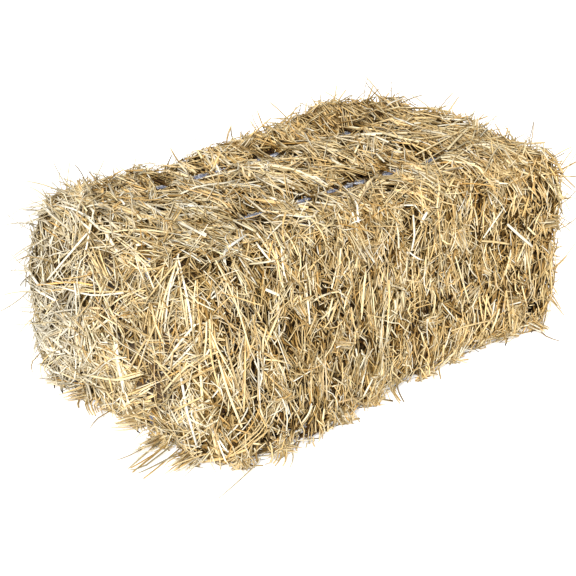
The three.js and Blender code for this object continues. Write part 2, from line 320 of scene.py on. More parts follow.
SKIN_POINTS, SKIN_TRIANGLES = whole_skin()
SKIN = BVHTree.FromPolygons(SKIN_POINTS.tolist(), SKIN_TRIANGLES.tolist())


def smooth_normals(reach=0.030, step=400):
    """The way the bale faces at each point of its surface, smoothed over the faces round it."""
    a, b, c = (SKIN_POINTS[SKIN_TRIANGLES[:, i]] for i in range(3))
    cross = np.cross(b - a, c - a).astype(np.float32)
    middle = ((a + b + c) / 3).astype(np.float32)
    facing = np.zeros_like(SKIN_POINTS)
    for first in range(0, len(SKIN_POINTS), step):
        some = SKIN_POINTS[first:first + step].astype(np.float32)
        distance = np.linalg.norm(some[:, None, :] - middle[None, :, :], axis=2)
        facing[first:first + step] = np.exp(-(distance / reach) ** 2) @ cross
    return unit(facing)


SKIN_NORMALS = smooth_normals()


def on_skin(points):
    """The signed height of each point over the bale's surface, and the way the surface faces there."""
    found = [SKIN.find_nearest(point) for point in points.tolist()]
    places = np.array([place[:] for place, _, _, _ in found])
    flat = np.array([normal[:] for _, normal, _, _ in found])
    triangles = SKIN_TRIANGLES[[index for _, _, index, _ in found]]
    offset = points - places
    height = np.linalg.norm(offset, axis=1) * np.where((offset * flat).sum(axis=1) < 0, -1, 1)
    a, b, c = (SKIN_POINTS[triangles[:, i]] for i in range(3))
    ab, ac, ap = b - a, c - a, places - a
    bb, bc, cc = (ab * ab).sum(1), (ab * ac).sum(1), (ac * ac).sum(1)
    pb, pc = (ap * ab).sum(1), (ap * ac).sum(1)
    area = np.maximum(bb * cc - bc * bc, 1e-15)
    v = np.clip((cc * pb - bc * pc) / area, 0, 1)[:, None]
    w = np.clip((bb * pc - bc * pb) / area, 0, 1)[:, None]
    n = SKIN_NORMALS[triangles]
    return height, unit((1 - v - w) * n[:, 0] + v * n[:, 1] + w * n[:, 2])


def read_twine(node):
    """The line that a string follows: half its length, its lowest and highest point and its place across."""
    points, _ = triangles_of(node)
    low, high = points.min(axis=0), points.max(axis=0)
    near = points[points[:, 0] < 0]
    across = (near[:, 1].min() + near[:, 1].max()) / 2
    return {"half": -low[0] - TWINE_RADIUS, "low": low[2] + TWINE_RADIUS,
            "high": high[2] - TWINE_RADIUS, "y": across}


TWINES = {name: read_twine(name) for name in ("twine_1", "twine_2")}


def over_window(points, line, name):
    """How far points stand over the lowest straw that still leaves the string's bare stretches in view."""
    over = np.full(points.shape[:-1], -1.0)
    beside = points[..., 1] - line["y"]
    height = points[..., 2] - line["high"] + BARE_HEIGHT
    slope = np.where(beside < 0, BARE_IN_FRONT, BARE_BEHIND)
    leaning = points[..., 0] + math.tan(AZIMUTH) * np.minimum(beside, 0)
    for middle, half in BARE_ON_TOP[name]:
        past = np.maximum(np.abs(leaning - middle) - half, 0)
        here = height - slope * np.abs(beside) - BARE_PAST * past
        over = np.where(np.hypot(beside, past) < BARE_REACH, np.maximum(over, here), over)
    return over


def bares_twine(points):
    """Where a point would hide a stretch of string that the straw leaves bare."""
    x, y, z = points[..., 0], points[..., 1], points[..., 2]
    bare = np.zeros(x.shape, bool)
    for name, line in TWINES.items():
        bare |= over_window(points, line, name) > BARE_MARGIN
        end_over = x - line["half"]
        from_knot = np.hypot(y - line["y"], z - KNOT_HEIGHT)
        bare |= (end_over > KNOT_GAP + KNOT_CONE * from_knot) & (from_knot < KNOT_REACH)
    return bare


def over_valley(points):
    """How far points stand over the valleys that the strings press into the top of the bale."""
    over = np.full(len(points), -1.0)
    for name, line in TWINES.items():
        valley = line["high"] + VALLEY_GAP + VALLEY_SLOPE * np.abs(points[:, 1] - line["y"])
        over = np.maximum(over, points[:, 2] - valley)
        over = np.maximum(over, over_window(points, line, name))
    return over


def over_bare_twine(paths):
    """Which paths cross a bare stretch of string."""
    share = np.linspace(0, 1, 5)[None, None, :, None]
    between = mixed(paths[:, :-1, None, :], paths[:, 1:, None, :], share)
    return bares_twine(between).any(axis=(1, 2))


def tube_quads(rings, sides, closed=False):
    """The faces along a tube: the corners of its quads, and the ring and the side that each corner is at."""
    rows = rings if closed else rings - 1
    ring, side = np.meshgrid(np.arange(rows), np.arange(sides), indexing="ij")
    ring = np.stack([ring, ring, ring + 1, ring + 1], axis=-1).reshape(-1)
    side = np.stack([side, side + 1, side + 1, side], axis=-1).reshape(-1)
    return ring % rings * sides + side % sides, ring, side


def tube_caps(rings, sides):
    """The corners of a tube's two ends."""
    around = np.arange(sides)
    return np.concatenate([around[::-1], (rings - 1) * sides + around])


def on_floor(vertices):
    """Points that would be under the floor are lifted onto it."""
    vertices[..., 2] = np.maximum(vertices[..., 2], FLOOR_GAP)
    return vertices


# A stem's cell of the baked map: the starts and sizes of its walls, the middle and radius of its first end,
# and how far along from it the second end is
WALLS_ALONG = (0.02, 0.96)
WALLS_AROUND = (0.04, 0.72)
END_ALONG = (0.03, 0.03)
END_AROUND = (0.9, 0.07)
SECOND_END = 0.1

# The mark of a cut end in the map of the stems, and how the streaks of one stem and the next differ
CUT_END = -1.0
START_STEP = 0.37
START_SHIFT = 0.11
START_RANGE = 7

# The materials of a flake's piece, and the heights in the baked map of its stems and of its core over them
STEM_MATERIAL, CORE_MATERIAL = 0, 1
STEM_PART = 0.92
CORE_PART = (0.925, 0.07)


def stem_cell(share, around, turn):
    """Where a stem's corners go in its cell of the baked map: its walls below, its two ends above them."""
    end_u = placed(END_ALONG, np.cos(turn))
    u = np.concatenate([placed(WALLS_ALONG, share), end_u, end_u + SECOND_END])
    v = np.concatenate([placed(WALLS_AROUND, around), np.tile(placed(END_AROUND, np.sin(turn)), 2)])
    return np.stack([u, v], axis=-1)


def stem_coordinates_of(paths, share, around, sides, first):
    """Each stem's map: metres along it from its own start and turns round it, or the mark of a cut end."""
    ends = np.full(2 * sides, CUT_END)
    along, around = np.concatenate([share, ends]), np.concatenate([around, ends])
    length = np.linalg.norm(np.diff(paths, axis=1), axis=2).sum(axis=1)
    start = (np.arange(len(paths)) * START_STEP + first * START_SHIFT) % START_RANGE
    u = np.where(along[None, :] < 0, CUT_END, start[:, None] + along[None, :] * length[:, None])
    return np.stack([u, np.broadcast_to(around, u.shape)], axis=-1)


class Straw:
    """The mesh of one piece, gathered batch by batch and made in one go."""

    KINDS = ("vertices", "colours", "corners", "sizes", "stem_map", "bake_map", "cells", "flat", "material")

    def __init__(self):
        self.batches = {kind: [] for kind in self.KINDS}
        self.points = 0
        self.stems = 0

    def whole(self, kind):
        return np.concatenate(self.batches[kind])

    def triangles(self):
        return int((self.whole("sizes") - 2).sum())

    def add(self, vertices, colours, corners, sizes, stem_map, bake_map, cells, flat, material):
        """Adds a batch: its points with their colours, and its faces with their maps, cells and materials."""
        batch = (vertices.reshape(-1, 3), colours.reshape(-1, 3), corners + self.points, sizes,
                 stem_map, bake_map, cells, flat, np.full(len(sizes), material))
        for kind, values in zip(self.KINDS, batch):
            self.batches[kind].append(values)
        self.points += len(batch[0])

    def add_tubes(self, paths, wide, thick, colours, sides=3, taper=None, underside=UNDERSIDE_SHADE):
        """Closed prisms along paths (n, steps, 3). wide and thick (n, 3) are their half widths."""
        count, steps, _ = paths.shape
        if not count:
            return
        taper = np.ones((count, steps)) if taper is None else taper
        turn = 2 * math.pi * (np.arange(sides) + 0.5) / sides
        ring = turned(wide[:, None, :], thick[:, None, :], turn[None, :, None])
        vertices = on_floor(paths[:, :, None, :] + ring[:, None, :, :] * taper[:, :, None, None])
        # Painted shade: each stem's underside, the side towards the bale, is darkened and warmed where shade
        # falls
        under = np.clip((LIT_FROM - np.sin(turn)) / (1 + LIT_FROM), 0, 1)
        shade = 1 - (1 - underside) * under

        quads, ring, side = tube_quads(steps, sides)
        share, around = ring / (steps - 1), side / sides
        pattern = np.concatenate([quads, tube_caps(steps, sides)])
        corners = pattern[None, :] + (np.arange(count) * steps * sides)[:, None]
        walls = (steps - 1) * sides
        sizes = np.repeat([4, sides], [walls, 2])
        flat = np.repeat([False, True], [walls, 2])
        places = stem_coordinates_of(paths, share, around, sides, self.stems)
        bake = np.broadcast_to(stem_cell(share, around, turn), places.shape)
        cells = np.repeat(self.stems + np.arange(count), len(pattern))
        self.add(vertices, colours[:, :, None, :] * shade[None, None, :, None] ** UNDERSIDE_TINT,
                 corners.reshape(-1), np.tile(sizes, count), places.reshape(-1, 2), bake.reshape(-1, 2),
                 cells, np.tile(flat, count), STEM_MATERIAL)
        self.stems += count

    def bake_places(self):
        """Each stem gets a wide, low cell of the map, and the core the band over them."""
        columns = max(1, math.ceil(math.sqrt(self.stems / 4)))
        rows = math.ceil(self.stems / columns)
        cells, local = self.whole("cells"), self.whole("bake_map")
        column, row = cells % columns, cells // columns
        u, v = local.T
        stems = np.stack([(column + u) / columns, (row + v) / rows * STEM_PART], axis=-1)
        core = np.stack([u, placed(CORE_PART, v)], axis=-1)
        return np.where((cells < 0)[:, None], core, stems)

    def build(self, name, materials):
        """The object, with its maps, colours and materials."""
        mesh = bpy.data.meshes.new(name)
        vertices, corners, sizes = (self.whole(kind) for kind in ("vertices", "corners", "sizes"))
        mesh.vertices.add(len(vertices))
        mesh.vertices.foreach_set("co", vertices.astype(np.float32).reshape(-1))
        mesh.loops.add(len(corners))
        mesh.loops.foreach_set("vertex_index", corners.astype(np.int32))
        mesh.polygons.add(len(sizes))
        starts = np.concatenate([[0], np.cumsum(sizes)[:-1]])
        mesh.polygons.foreach_set("loop_start", starts.astype(np.int32))
        mesh.polygons.foreach_set("material_index", self.whole("material").astype(np.int32))
        for material in materials:
            mesh.materials.append(material)
        for map_name, places in (("OFBake", self.bake_places()), ("Stem", self.whole("stem_map"))):
            layer = mesh.uv_layers.new(name=map_name)
            layer.data.foreach_set("uv", places.astype(np.float32).reshape(-1))
        colours = np.column_stack([self.whole("colours"), np.ones(len(vertices))])
        # The stems' colours hold their painted shade as well as their tone
        tint = mesh.color_attributes.new(name="Straw", type="FLOAT_COLOR", domain="POINT")
        tint.data.foreach_set("color", colours.astype(np.float32).reshape(-1))
        mesh.update(calc_edges=True)
        sharp = mesh.attributes.get("sharp_face") or mesh.attributes.new("sharp_face", "BOOLEAN", "FACE")
        sharp.data.foreach_set("value", self.whole("flat"))
        mesh.validate()
        piece = bpy.data.objects.new(name, mesh)
        bpy.context.scene.collection.objects.link(piece)
        return piece


def by_face(normals, values):
    """A value for each point of the bale, from those for its top, its sides and its ends."""
    top, side, end = values
    share = normals ** 2
    return share[:, 2] * top + share[:, 1] * side + share[:, 0] * end


# How far the lie of straw strays, in radians, on the top, the sides and the ends
LIE_SPREAD = (0.34, 0.42, 0.6)
LIE_DRIFT = (0.2, 0.4, 0.4)
WILD_SHARE = (0.16, 0.16, 0.10)
WILD_TURN = 1.6
END_FACING = 0.7
END_SPREAD = 0.38


def drift_at(x, y, z):
    """Slow waves over the bale, from -1 to 1, that turn neighbouring bundles alike."""
    return np.sin(x * 31 + 1.3) * np.sin(y * 23 + z * 29 + 0.4)


def swirl_at(y, z):
    """The angle that the straw on an end is combed to."""
    return 1.7 * np.sin(22 * y + 13 * z + 1.0) + 1.4 * np.sin(31 * z - 17 * y + 2.0)


def lie_of_straw(rng, places, normals):
    """The way that straw lies: round the bale on its long faces, and in combed swirls on its ends."""
    count = len(places)
    x, y, z = places.T
    facing_end = np.abs(normals[:, 0]) > END_FACING
    along = np.where(facing_end[:, None], [0.0, 1.0, 0.0], [1.0, 0.0, 0.0])
    around = unit(np.cross(along, normals))
    angle = rng.normal(0, 1, count) * by_face(normals, LIE_SPREAD)
    angle = angle + drift_at(x, y, z) * by_face(normals, LIE_DRIFT)
    angle = np.where(facing_end, swirl_at(y, z) + rng.normal(0, END_SPREAD, count), angle)
    wild = rng.random(count) < by_face(normals, WILD_SHARE)
    angle = np.where(wild, rng.uniform(-WILD_TURN, WILD_TURN, count), angle)
    return unit(turned(around, np.cross(normals, around), angle[:, None]))


PALETTE = np.array([linear(tone["rgb"]) for tone in TONES.values()])
COMMON_LEFT = np.cumsum([tone["left"] for tone in TONES.values()])
COMMON_RIGHT = np.cumsum([tone["right"] for tone in TONES.values()])


def pick_tones(rng, along):
    """A tone for each stem. along is 0 at the -X end of the bale and 1 at its +X end."""
    common = mixed(COMMON_LEFT, COMMON_RIGHT, along[:, None])
    return (rng.random(len(along))[:, None] > common[:, :-1]).sum(axis=1)


def tones_along(places, normals):
    """How near each stem's tones are to those of the +X end. The -X end is the most bleached."""
    along = np.clip(placed(TONE_ALONG, places[:, 0] - CORNER_X), *TONE_ALONG_LIMITS)
    across = np.clip(placed(TONE_ACROSS, places[:, 1]), *TONE_ACROSS_LIMITS)
    return np.where(normals[:, 0] < LEFT_END_FACING, across, along)


def bleach_corner(colours, places):
    """The straw at the far corner of the -X end is bleached nearly white."""
    share = smooth_step((places[:, 1] - CORNER_Y) / CORNER_Y_REACH)
    share = share * smooth_step((CORNER_X - places[:, 0]) / CORNER_X_REACH)
    level = colours.max(axis=1, keepdims=True)
    return mixed(colours, linear(BLEACHED_WHITE) * level ** CORNER_LEVEL, CORNER_SHARE * share[:, None])


def straw_colours(rng, places, normals, bundle):
    """A colour for each stem: its own tone, and a little of its bundle's."""
    count = len(places)
    along = tones_along(places, normals)
    own = PALETTE[pick_tones(rng, along)]
    middle = np.zeros(bundle.max() + 1)
    middle[bundle] = along
    shared = PALETTE[pick_tones(rng, middle)][bundle]
    colours = mixed(shared, own, rng.uniform(*OWN_TONE, count)[:, None])
    bright = np.exp(np.clip(rng.normal(*BRIGHTNESS, count), *BRIGHTNESS_LIMITS))
    # Painted light: the stems on the top are made a little lighter
    bright = bright * by_face(normals, PAINTED_FACE_LIGHT)
    colours = colours * bright[:, None] ** BRIGHT_TINT
    colours = colours / np.maximum(colours.max(axis=1, keepdims=True) / BRIGHTEST, 1)
    return bleach_corner(colours, places)


# The underside of the bale: how far down its faces look, and what share of the straw they get
UNDERSIDE_FACING = -0.8
UNDERSIDE_SHARE = 0.35


def sample_skin(rng, flake, count):
    """Places spread over a flake's surface, with the way each faces. The underside gets fewer."""
    triangles = flake["triangles"]
    a, b, c = (flake["points"][triangles[:, i]] for i in range(3))
    cross = np.cross(b - a, c - a)
    area = np.linalg.norm(cross, axis=1)
    underneath = cross[:, 2] < UNDERSIDE_FACING * area
    share = np.where(underneath, UNDERSIDE_SHARE, 1.0) * area
    chosen = rng.choice(len(triangles), count, p=share / share.sum())
    u, v = rng.random(count), rng.random(count)
    fold = u + v > 1
    u, v = np.where(fold, 1 - u, u), np.where(fold, 1 - v, v)
    places = a[chosen] + u[:, None] * (b - a)[chosen] + v[:, None] * (c - a)[chosen]
    return places, on_skin(places)[1]


# How far a stem bends in or out for how far it bends sideways, and how sharply it is kinked, in radians
BEND_OUTWARD = 0.35
KINK_TURN = 0.6


def bent_paths(rng, places, headings, normals, lengths, steps, bend, kinked):
    """Paths through the places: gently bent, and some of them kinked where they were crushed."""
    count = len(places)
    share = np.linspace(-0.5, 0.5, steps)
    sideways = np.cross(normals, headings)
    curve = 4 * (share ** 2 - 0.25)[None, :, None]
    paths = places[:, None, :] + headings[:, None, :] * (share[None, :] * lengths[:, None])[..., None]
    for way, amount in ((sideways, bend), (normals, BEND_OUTWARD * bend)):
        paths += way[:, None, :] * curve * (rng.normal(0, amount, count) * lengths)[:, None, None]
    if kinked:
        at = rng.integers(1, max(2, steps - 1), count)
        turn = np.where(rng.random(count) < kinked, rng.normal(0, KINK_TURN, count), 0)
        past = np.maximum(np.arange(steps)[None, :] - at[:, None], 0) / (steps - 1)
        paths += sideways[:, None, :] * (past * (turn * lengths)[:, None])[..., None]
    return paths


# Gaps in the straw of a flake: how many, half their length and width, how deep they are, and how far they
# reach in and out of the surface
HOLLOWS = 18
HOLLOW_LONG = (0.010, 0.024)
HOLLOW_LONG_SCALE = (0.7, 1.2, 0.8)
HOLLOW_NARROW = (0.004, 0.007)
HOLLOW_DEPTH = 0.012
HOLLOW_REACH = 0.03


def make_hollows(rng, flake):
    """The gaps: where they are, the way they face, their long direction, and half their length and width."""
    places, normals = sample_skin(rng, flake, HOLLOWS)
    lie = lie_of_straw(rng, places, normals)
    long = rng.uniform(*HOLLOW_LONG, HOLLOWS) * by_face(normals, HOLLOW_LONG_SCALE)
    narrow = rng.uniform(*HOLLOW_NARROW, HOLLOWS)
    return places, normals, lie, long, narrow


def press_down(paths, most, hollows):
    """Straw is pressed into the bale. Returns the pressed paths and the depth of each of their points."""
    count, steps, _ = paths.shape
    flat = paths.reshape(-1, 3)
    height, outward = on_skin(flat)
    allowed = np.repeat(most, steps)
    for place, normal, lie, long, narrow in zip(*hollows):
        away = flat - place
        across = np.cross(normal, lie)
        reach = (away @ lie / long) ** 2 + (away @ across / narrow) ** 2 + (away @ normal / HOLLOW_REACH) ** 2
        bottom = -HOLLOW_DEPTH * np.sqrt(np.maximum(1 - reach, 0))
        allowed = np.where(reach < 1, np.minimum(allowed, bottom), allowed)
    pressed = np.minimum(height, allowed)
    flat = flat + outward * (pressed - height)[:, None]
    flat[:, 2] -= np.maximum(over_valley(flat), 0)
    return flat.reshape(count, steps, 3), pressed.reshape(count, steps)


def cross_section(rng, headings, normals, widths, flatness, tilt):
    """Half widths of a stem that lies on its broad side, give or take a tilt."""
    sideways = unit(np.cross(normals, headings))
    upward = np.cross(headings, sideways)
    wide = turned(sideways, upward, rng.normal(0, tilt, len(widths))[:, None])
    thick = np.cross(headings, wide)
    return wide * widths[:, None] / 2, thick * (widths * flatness)[:, None] / 2


# The sorts of stem: how many of them on the top, the sides and the ends, the steps along them, their sides,
# the ranges of their length, width, flatness and lift, how far they bend, how many are kinked, how narrow
# their tips may be, and how far they lie askew
PLAIN_STEM = {"steps": 3, "sides": 3, "bend": 0, "kinked": 0, "tip": 0.75, "askew": 0}
STEMS = {
    "under": {"share": (0.26, 0.18, 0.25), "steps": 2, "long": (0.030, 0.080), "wide": (0.0036, 0.0060),
              "flat": (0.3, 0.6), "lift": (-0.017, -0.008)},
    "bit": {"share": (0.16, 0.44, 0.10), "steps": 2, "long": (0.008, 0.032), "wide": (0.0020, 0.0040),
            "flat": (0.3, 0.8), "lift": (-0.009, 0.006), "askew": 1.0},
    "short": {"share": (0.26, 0.22, 0.20), "long": (0.030, 0.085), "wide": (0.0024, 0.0042),
              "flat": (0.35, 0.9), "lift": (-0.011, 0.005), "bend": 0.10, "kinked": 0.6},
    "bent": {"share": (0.16, 0.08, 0.24), "steps": 5, "long": (0.060, 0.130), "wide": (0.0024, 0.0040),
             "flat": (0.4, 0.9), "lift": (-0.009, 0.007), "bend": 0.16, "kinked": 0.6},
    "leaf": {"share": (0.07, 0.06, 0.07), "steps": 4, "long": (0.030, 0.080), "wide": (0.0042, 0.0080),
             "flat": (0.08, 0.16), "lift": (-0.010, 0.003), "bend": 0.14, "kinked": 0.4, "tip": 0.25},
    "thick": {"share": (0.15, 0.07, 0.19), "sides": 5, "long": (0.050, 0.120), "wide": (0.0034, 0.0056),
              "flat": (0.45, 0.9), "lift": (-0.010, 0.006), "bend": 0.03, "kinked": 0.3},
}
SORTS = [{**PLAIN_STEM, **sort} for sort in STEMS.values()]

# How pressed straw differs on the top, the sides and the ends: the depth of its bundles, how far the stems of
# a bundle lie apart and turn, and what their length, width and lift are multiplied by
BUNDLE_DEPTH = (2.4, 1.7, 3.9)
BUNDLE_SPREAD = (0.011, 0.012, 0.016)
BUNDLE_TURN = (0.17, 0.26, 0.11)
LENGTH_SCALE = (1.02, 0.60, 1.25)
WIDTH_SCALE = (1.12, 0.84, 1.20)
LIFT_SCALE = (1.4, 1.0, 1.0)

# How far its stems slide along their bundle, differ in depth, dip and tilt, and may rise over their own lift
BUNDLE_SLIDE = 0.014
DEPTH_SPREAD = 0.18
STEM_DIP = 0.10
STEM_TILT = 0.6
PRESS_ROOM = 0.003


def stem_triangles(sort):
    return 2 * sort["sides"] * sort["steps"] - 4


def choose_sorts(rng, normals):
    """Which sort each stem is, by the way that the bale faces there."""
    total = np.cumsum([by_face(normals, sort["share"]) for sort in SORTS], axis=0)
    return (rng.random(len(normals)) * total[-1] > total).sum(axis=0)


def lay_bundles(rng, flake, count, size):
    """Stems in bundles that lie alike: their places, the way they face and lie, their depths and bundles."""
    bundles = max(1, count // size)
    middles, facing = sample_skin(rng, flake, bundles)
    lie = lie_of_straw(rng, middles, facing)
    depth = rng.uniform(0, 1, bundles) ** by_face(facing, BUNDLE_DEPTH)
    bundle = rng.integers(0, bundles, count)
    headings = lie[bundle]
    sideways = np.cross(facing[bundle], headings)
    spread = by_face(facing, BUNDLE_SPREAD)[bundle]
    places = middles[bundle] + sideways * (rng.normal(0, 1, count) * spread)[:, None]
    places += headings * rng.normal(0, BUNDLE_SLIDE, count)[:, None]
    turn = rng.normal(0, 1, count) * by_face(facing, BUNDLE_TURN)[bundle]
    headings = unit(turned(headings, sideways, turn[:, None]))
    depth = np.clip(depth[bundle] + rng.normal(0, DEPTH_SPREAD, count), 0, 1)
    return places, on_skin(places)[1], headings, depth, bundle


def ring_colours(rng, colours, depth):
    """A stem's colour at each step along it, with painted shade, darker and warmer, where it lies deep in the
    bale.
    """
    change = 1 + rng.normal(0, STEP_BRIGHTNESS, depth.shape)
    # Painted shade: the deeper a step lies, the darker and warmer its colour
    share = (depth + SHADE_DEPTH) / (SHADE_DEPTH + FULL_LIGHT)
    light = DEEPEST_SHADE + (1 - DEEPEST_SHADE) * smooth_step(share)
    warm = SHADE_TINT ** (SHADE_WARMTH * (1 - light))[..., None]
    return np.clip(colours[:, None, :] * (change * light)[..., None] * warm, *COLOUR_LIMITS)


def lay_straw(straw, rng, flake, budget, bundle_size):
    """The pressed straw of a flake's surface."""
    costs = np.array([stem_triangles(sort) for sort in SORTS])
    places, normals, headings, depth, bundle = lay_bundles(rng, flake, int(budget / costs.min()), bundle_size)
    chosen = choose_sorts(rng, normals)
    within = np.cumsum(costs[chosen]) < budget
    hollows = make_hollows(rng, flake)
    colours = straw_colours(rng, places, normals, bundle)
    for number, sort in enumerate(SORTS):
        which = (chosen == number) & within
        lay_sort(straw, rng, sort, places[which], normals[which], headings[which], depth[which],
                 colours[which], hollows)


def lay_sort(straw, rng, sort, places, normals, headings, depth, colours, hollows):
    """The stems of one sort in a flake's pressed straw."""
    count, steps = len(places), sort["steps"]
    length = rng.uniform(*sort["long"], count) * by_face(normals, LENGTH_SCALE)
    width = rng.uniform(*sort["wide"], count) * by_face(normals, WIDTH_SCALE)
    flatness = rng.uniform(*sort["flat"], count)
    low, high = sort["lift"]
    lift = (low + (high - low) * depth) * by_face(normals, LIFT_SCALE)
    dip = rng.normal(0, STEM_DIP, count)[:, None]
    if sort["askew"]:
        aside = np.cross(normals, headings) * rng.normal(0, sort["askew"], count)[:, None]
        headings = unit(headings + aside)
    headings = unit(headings + normals * dip)
    paths = bent_paths(rng, places, headings, normals, length, steps, sort["bend"], sort["kinked"])
    paths += normals[:, None, :] * lift[:, None, None]
    paths, deep = press_down(paths, lift + PRESS_ROOM, hollows)
    wide, thick = cross_section(rng, headings, normals, width, flatness, STEM_TILT)
    taper = np.ones((count, steps))
    taper[:, [0, -1]] = rng.uniform(sort["tip"], 1.0, (count, 2))
    keep = ~over_bare_twine(paths)
    tints = ring_colours(rng, colours, deep)
    straw.add_tubes(paths[keep], wide[keep], thick[keep], tints[keep], sort["sides"], taper[keep])


# Loose stems: their flatness and tilt, how narrow their tips are, and the depths whose painted shade darkens
# their two ends
LOOSE_FLATNESS = (0.4, 0.9)
LOOSE_TILT = 0.8
LOOSE_TIP = (0.3, 0.9)
LOOSE_DEPTH = (-0.002, 0.003)

# Stems that stray from the surface: their rise, length and width, what those are multiplied by on the top,
# the sides and the ends, how deep they root, and how far they bend
STRAY_RISE = (0.10, 0.9)
STRAY_RISE_SCALE = (0.75, 0.55, 0.8)
STRAY_LENGTH = (0.022, 0.062)
STRAY_LENGTH_SCALE = (1.0, 0.8, 1.15)
STRAY_WIDTH = (0.0018, 0.0038)
STRAY_ROOT = 0.010
STRAY_STEPS = 4
STRAY_BEND = 0.06
STRAY_KINKED = 0.35
STRAY_LOWEST = -0.5

# Stems that hang from the edges: how many places are tried for each, how far down they may face, their rise,
# length, width, root, curl and droop
EDGE_TRIES = 9
EDGE_LOWEST = -0.3
EDGE_RISE = (0.15, 1.0)
EDGE_SHORTEST = 0.020
EDGE_LONGER = 0.070
EDGE_WIDTH = (0.0018, 0.0042)
EDGE_ROOT = 0.008
EDGE_STEPS = 6
EDGE_CURL = 0.40
EDGE_DROOP = (-0.35, 0.15)


def keep_inside(paths, roots):
    """Shortens stray stems, from their roots, that would leave the box of the bale."""
    low = np.array(cad_box[0]) - OVER_BOX * [1, 1, 0]
    high = np.array(cad_box[1]) + OVER_BOX
    away = paths - roots[:, None, :]
    room = np.where(away > 0, high - roots[:, None, :], roots[:, None, :] - low)
    share = (np.maximum(room, 0) / np.maximum(np.abs(away), 1e-6)).min(axis=(1, 2))
    return roots[:, None, :] + away * np.minimum(share, 1)[:, None, None]


def add_loose(straw, rng, paths, headings, normals, width):
    """Loose stems that stand clear of the surface."""
    count, steps, _ = paths.shape
    widths = rng.uniform(*width, count)
    flatness = rng.uniform(*LOOSE_FLATNESS, count)
    wide, thick = cross_section(rng, headings, normals, widths, flatness, LOOSE_TILT)
    taper = np.ones((count, steps))
    taper[:, -1] = rng.uniform(*LOOSE_TIP, count)
    colours = straw_colours(rng, paths[:, 0], normals, np.arange(count)) * LOOSE_BRIGHTNESS
    tints = ring_colours(rng, colours, np.tile(np.linspace(*LOOSE_DEPTH, steps), (count, 1)))
    clear = ~over_bare_twine(paths)
    straw.add_tubes(paths[clear], wide[clear], thick[clear], tints[clear], 3, taper[clear], LOOSE_UNDERSIDE_SHADE)


def stray_stems(straw, rng, flake, count):
    """Stems that stand out of the surface, rooted in it."""
    places, normals = sample_skin(rng, flake, count)
    keep = normals[:, 2] > STRAY_LOWEST
    places, normals = places[keep], normals[keep]
    count = len(places)
    lie = lie_of_straw(rng, places, normals)
    rise = rng.uniform(*STRAY_RISE, count) * by_face(normals, STRAY_RISE_SCALE)
    sense = rng.choice([-1, 1], count)[:, None]
    headings = unit(turned(lie * sense, normals, rise[:, None]))
    length = rng.uniform(*STRAY_LENGTH, count) * by_face(normals, STRAY_LENGTH_SCALE)
    middle = places + headings * (length / 2 - STRAY_ROOT)[:, None]
    paths = bent_paths(rng, middle, headings, normals, length, STRAY_STEPS, STRAY_BEND, STRAY_KINKED)
    add_loose(straw, rng, keep_inside(paths, places), headings, normals, STRAY_WIDTH)


def edge_stems(straw, rng, flake, count):
    """Longer, curved stems that hang out along the edges of the bale."""
    places, normals = sample_skin(rng, flake, count * EDGE_TRIES)
    at_edge = (np.abs(normals).max(axis=1) < SQUARE_ON) & (normals[:, 2] > EDGE_LOWEST)
    keep = np.flatnonzero(at_edge)[:count]
    places, normals = places[keep], normals[keep]
    count = len(places)
    lie = lie_of_straw(rng, places, normals)
    along = np.array([1.0, 0.0, 0.0]) * rng.choice([-1, 1], count)[:, None]
    aside = unit(lie * rng.choice([-1, 1], count)[:, None] + along * rng.uniform(0, 2, count)[:, None])
    headings = unit(turned(aside, normals, rng.uniform(*EDGE_RISE, count)[:, None]))
    length = (EDGE_SHORTEST + EDGE_LONGER * rng.random(count) ** 2)[:, None, None]
    share = share_along(EDGE_STEPS)
    paths = places[:, None, :] - normals[:, None, :] * EDGE_ROOT + headings[:, None, :] * share * length
    curl = rng.normal(0, EDGE_CURL, (count, 1, 1)) * length * share ** 2
    paths = paths + np.cross(headings, normals)[:, None, :] * curl
    droop = rng.uniform(*EDGE_DROOP, (count, 1, 1)) * length * share ** 2
    paths = keep_inside(paths + np.array([0, 0, 1.0]) * droop, places)
    add_loose(straw, rng, paths, headings, normals, EDGE_WIDTH)


# The spray of stems in the place of a tuft: how many there are, and how many more for each metre of length,
# how deep they root, how far they reach and spread, and their width
TUFT_STEMS = 12
TUFT_STEMS_BY_LENGTH = 300
TUFT_ROOT = (0.02, 0.05)
TUFT_REACH = (0.25, 1.04)
TUFT_ROOT_SPREAD = 0.017
TUFT_END_SPREAD = 0.34
TUFT_BOW = 0.09
TUFT_STEPS = 4
TUFT_WIDTH = (0.0018, 0.0040)

# The straw over its foot
FOOT_STEMS = 40
FOOT_DEPTH = 0.006
FOOT_SPREAD = 0.02
FOOT_LENGTH = (0.02, 0.05)
FOOT_WIDTH = (0.0024, 0.0046)
FOOT_BEND = 0.08
FOOT_KINKED = 0.3


def cover_base(straw, rng, base, heading, sideways, other):
    """Straw that lies over the place where a tuft leaves the bale."""
    whole_turn = (0, 2 * math.pi, (FOOT_STEMS, 1))
    ray = turned(sideways, other, rng.uniform(*whole_turn))
    middle = base - heading * FOOT_DEPTH + ray * rng.uniform(0, FOOT_SPREAD, (FOOT_STEMS, 1))
    headings = turned(sideways, other, rng.uniform(*whole_turn))
    outward = np.tile(heading, (FOOT_STEMS, 1))
    length = rng.uniform(*FOOT_LENGTH, FOOT_STEMS)
    paths = bent_paths(rng, middle, headings, outward, length, TUFT_STEPS, FOOT_BEND, FOOT_KINKED)
    add_loose(straw, rng, paths, headings, outward, FOOT_WIDTH)


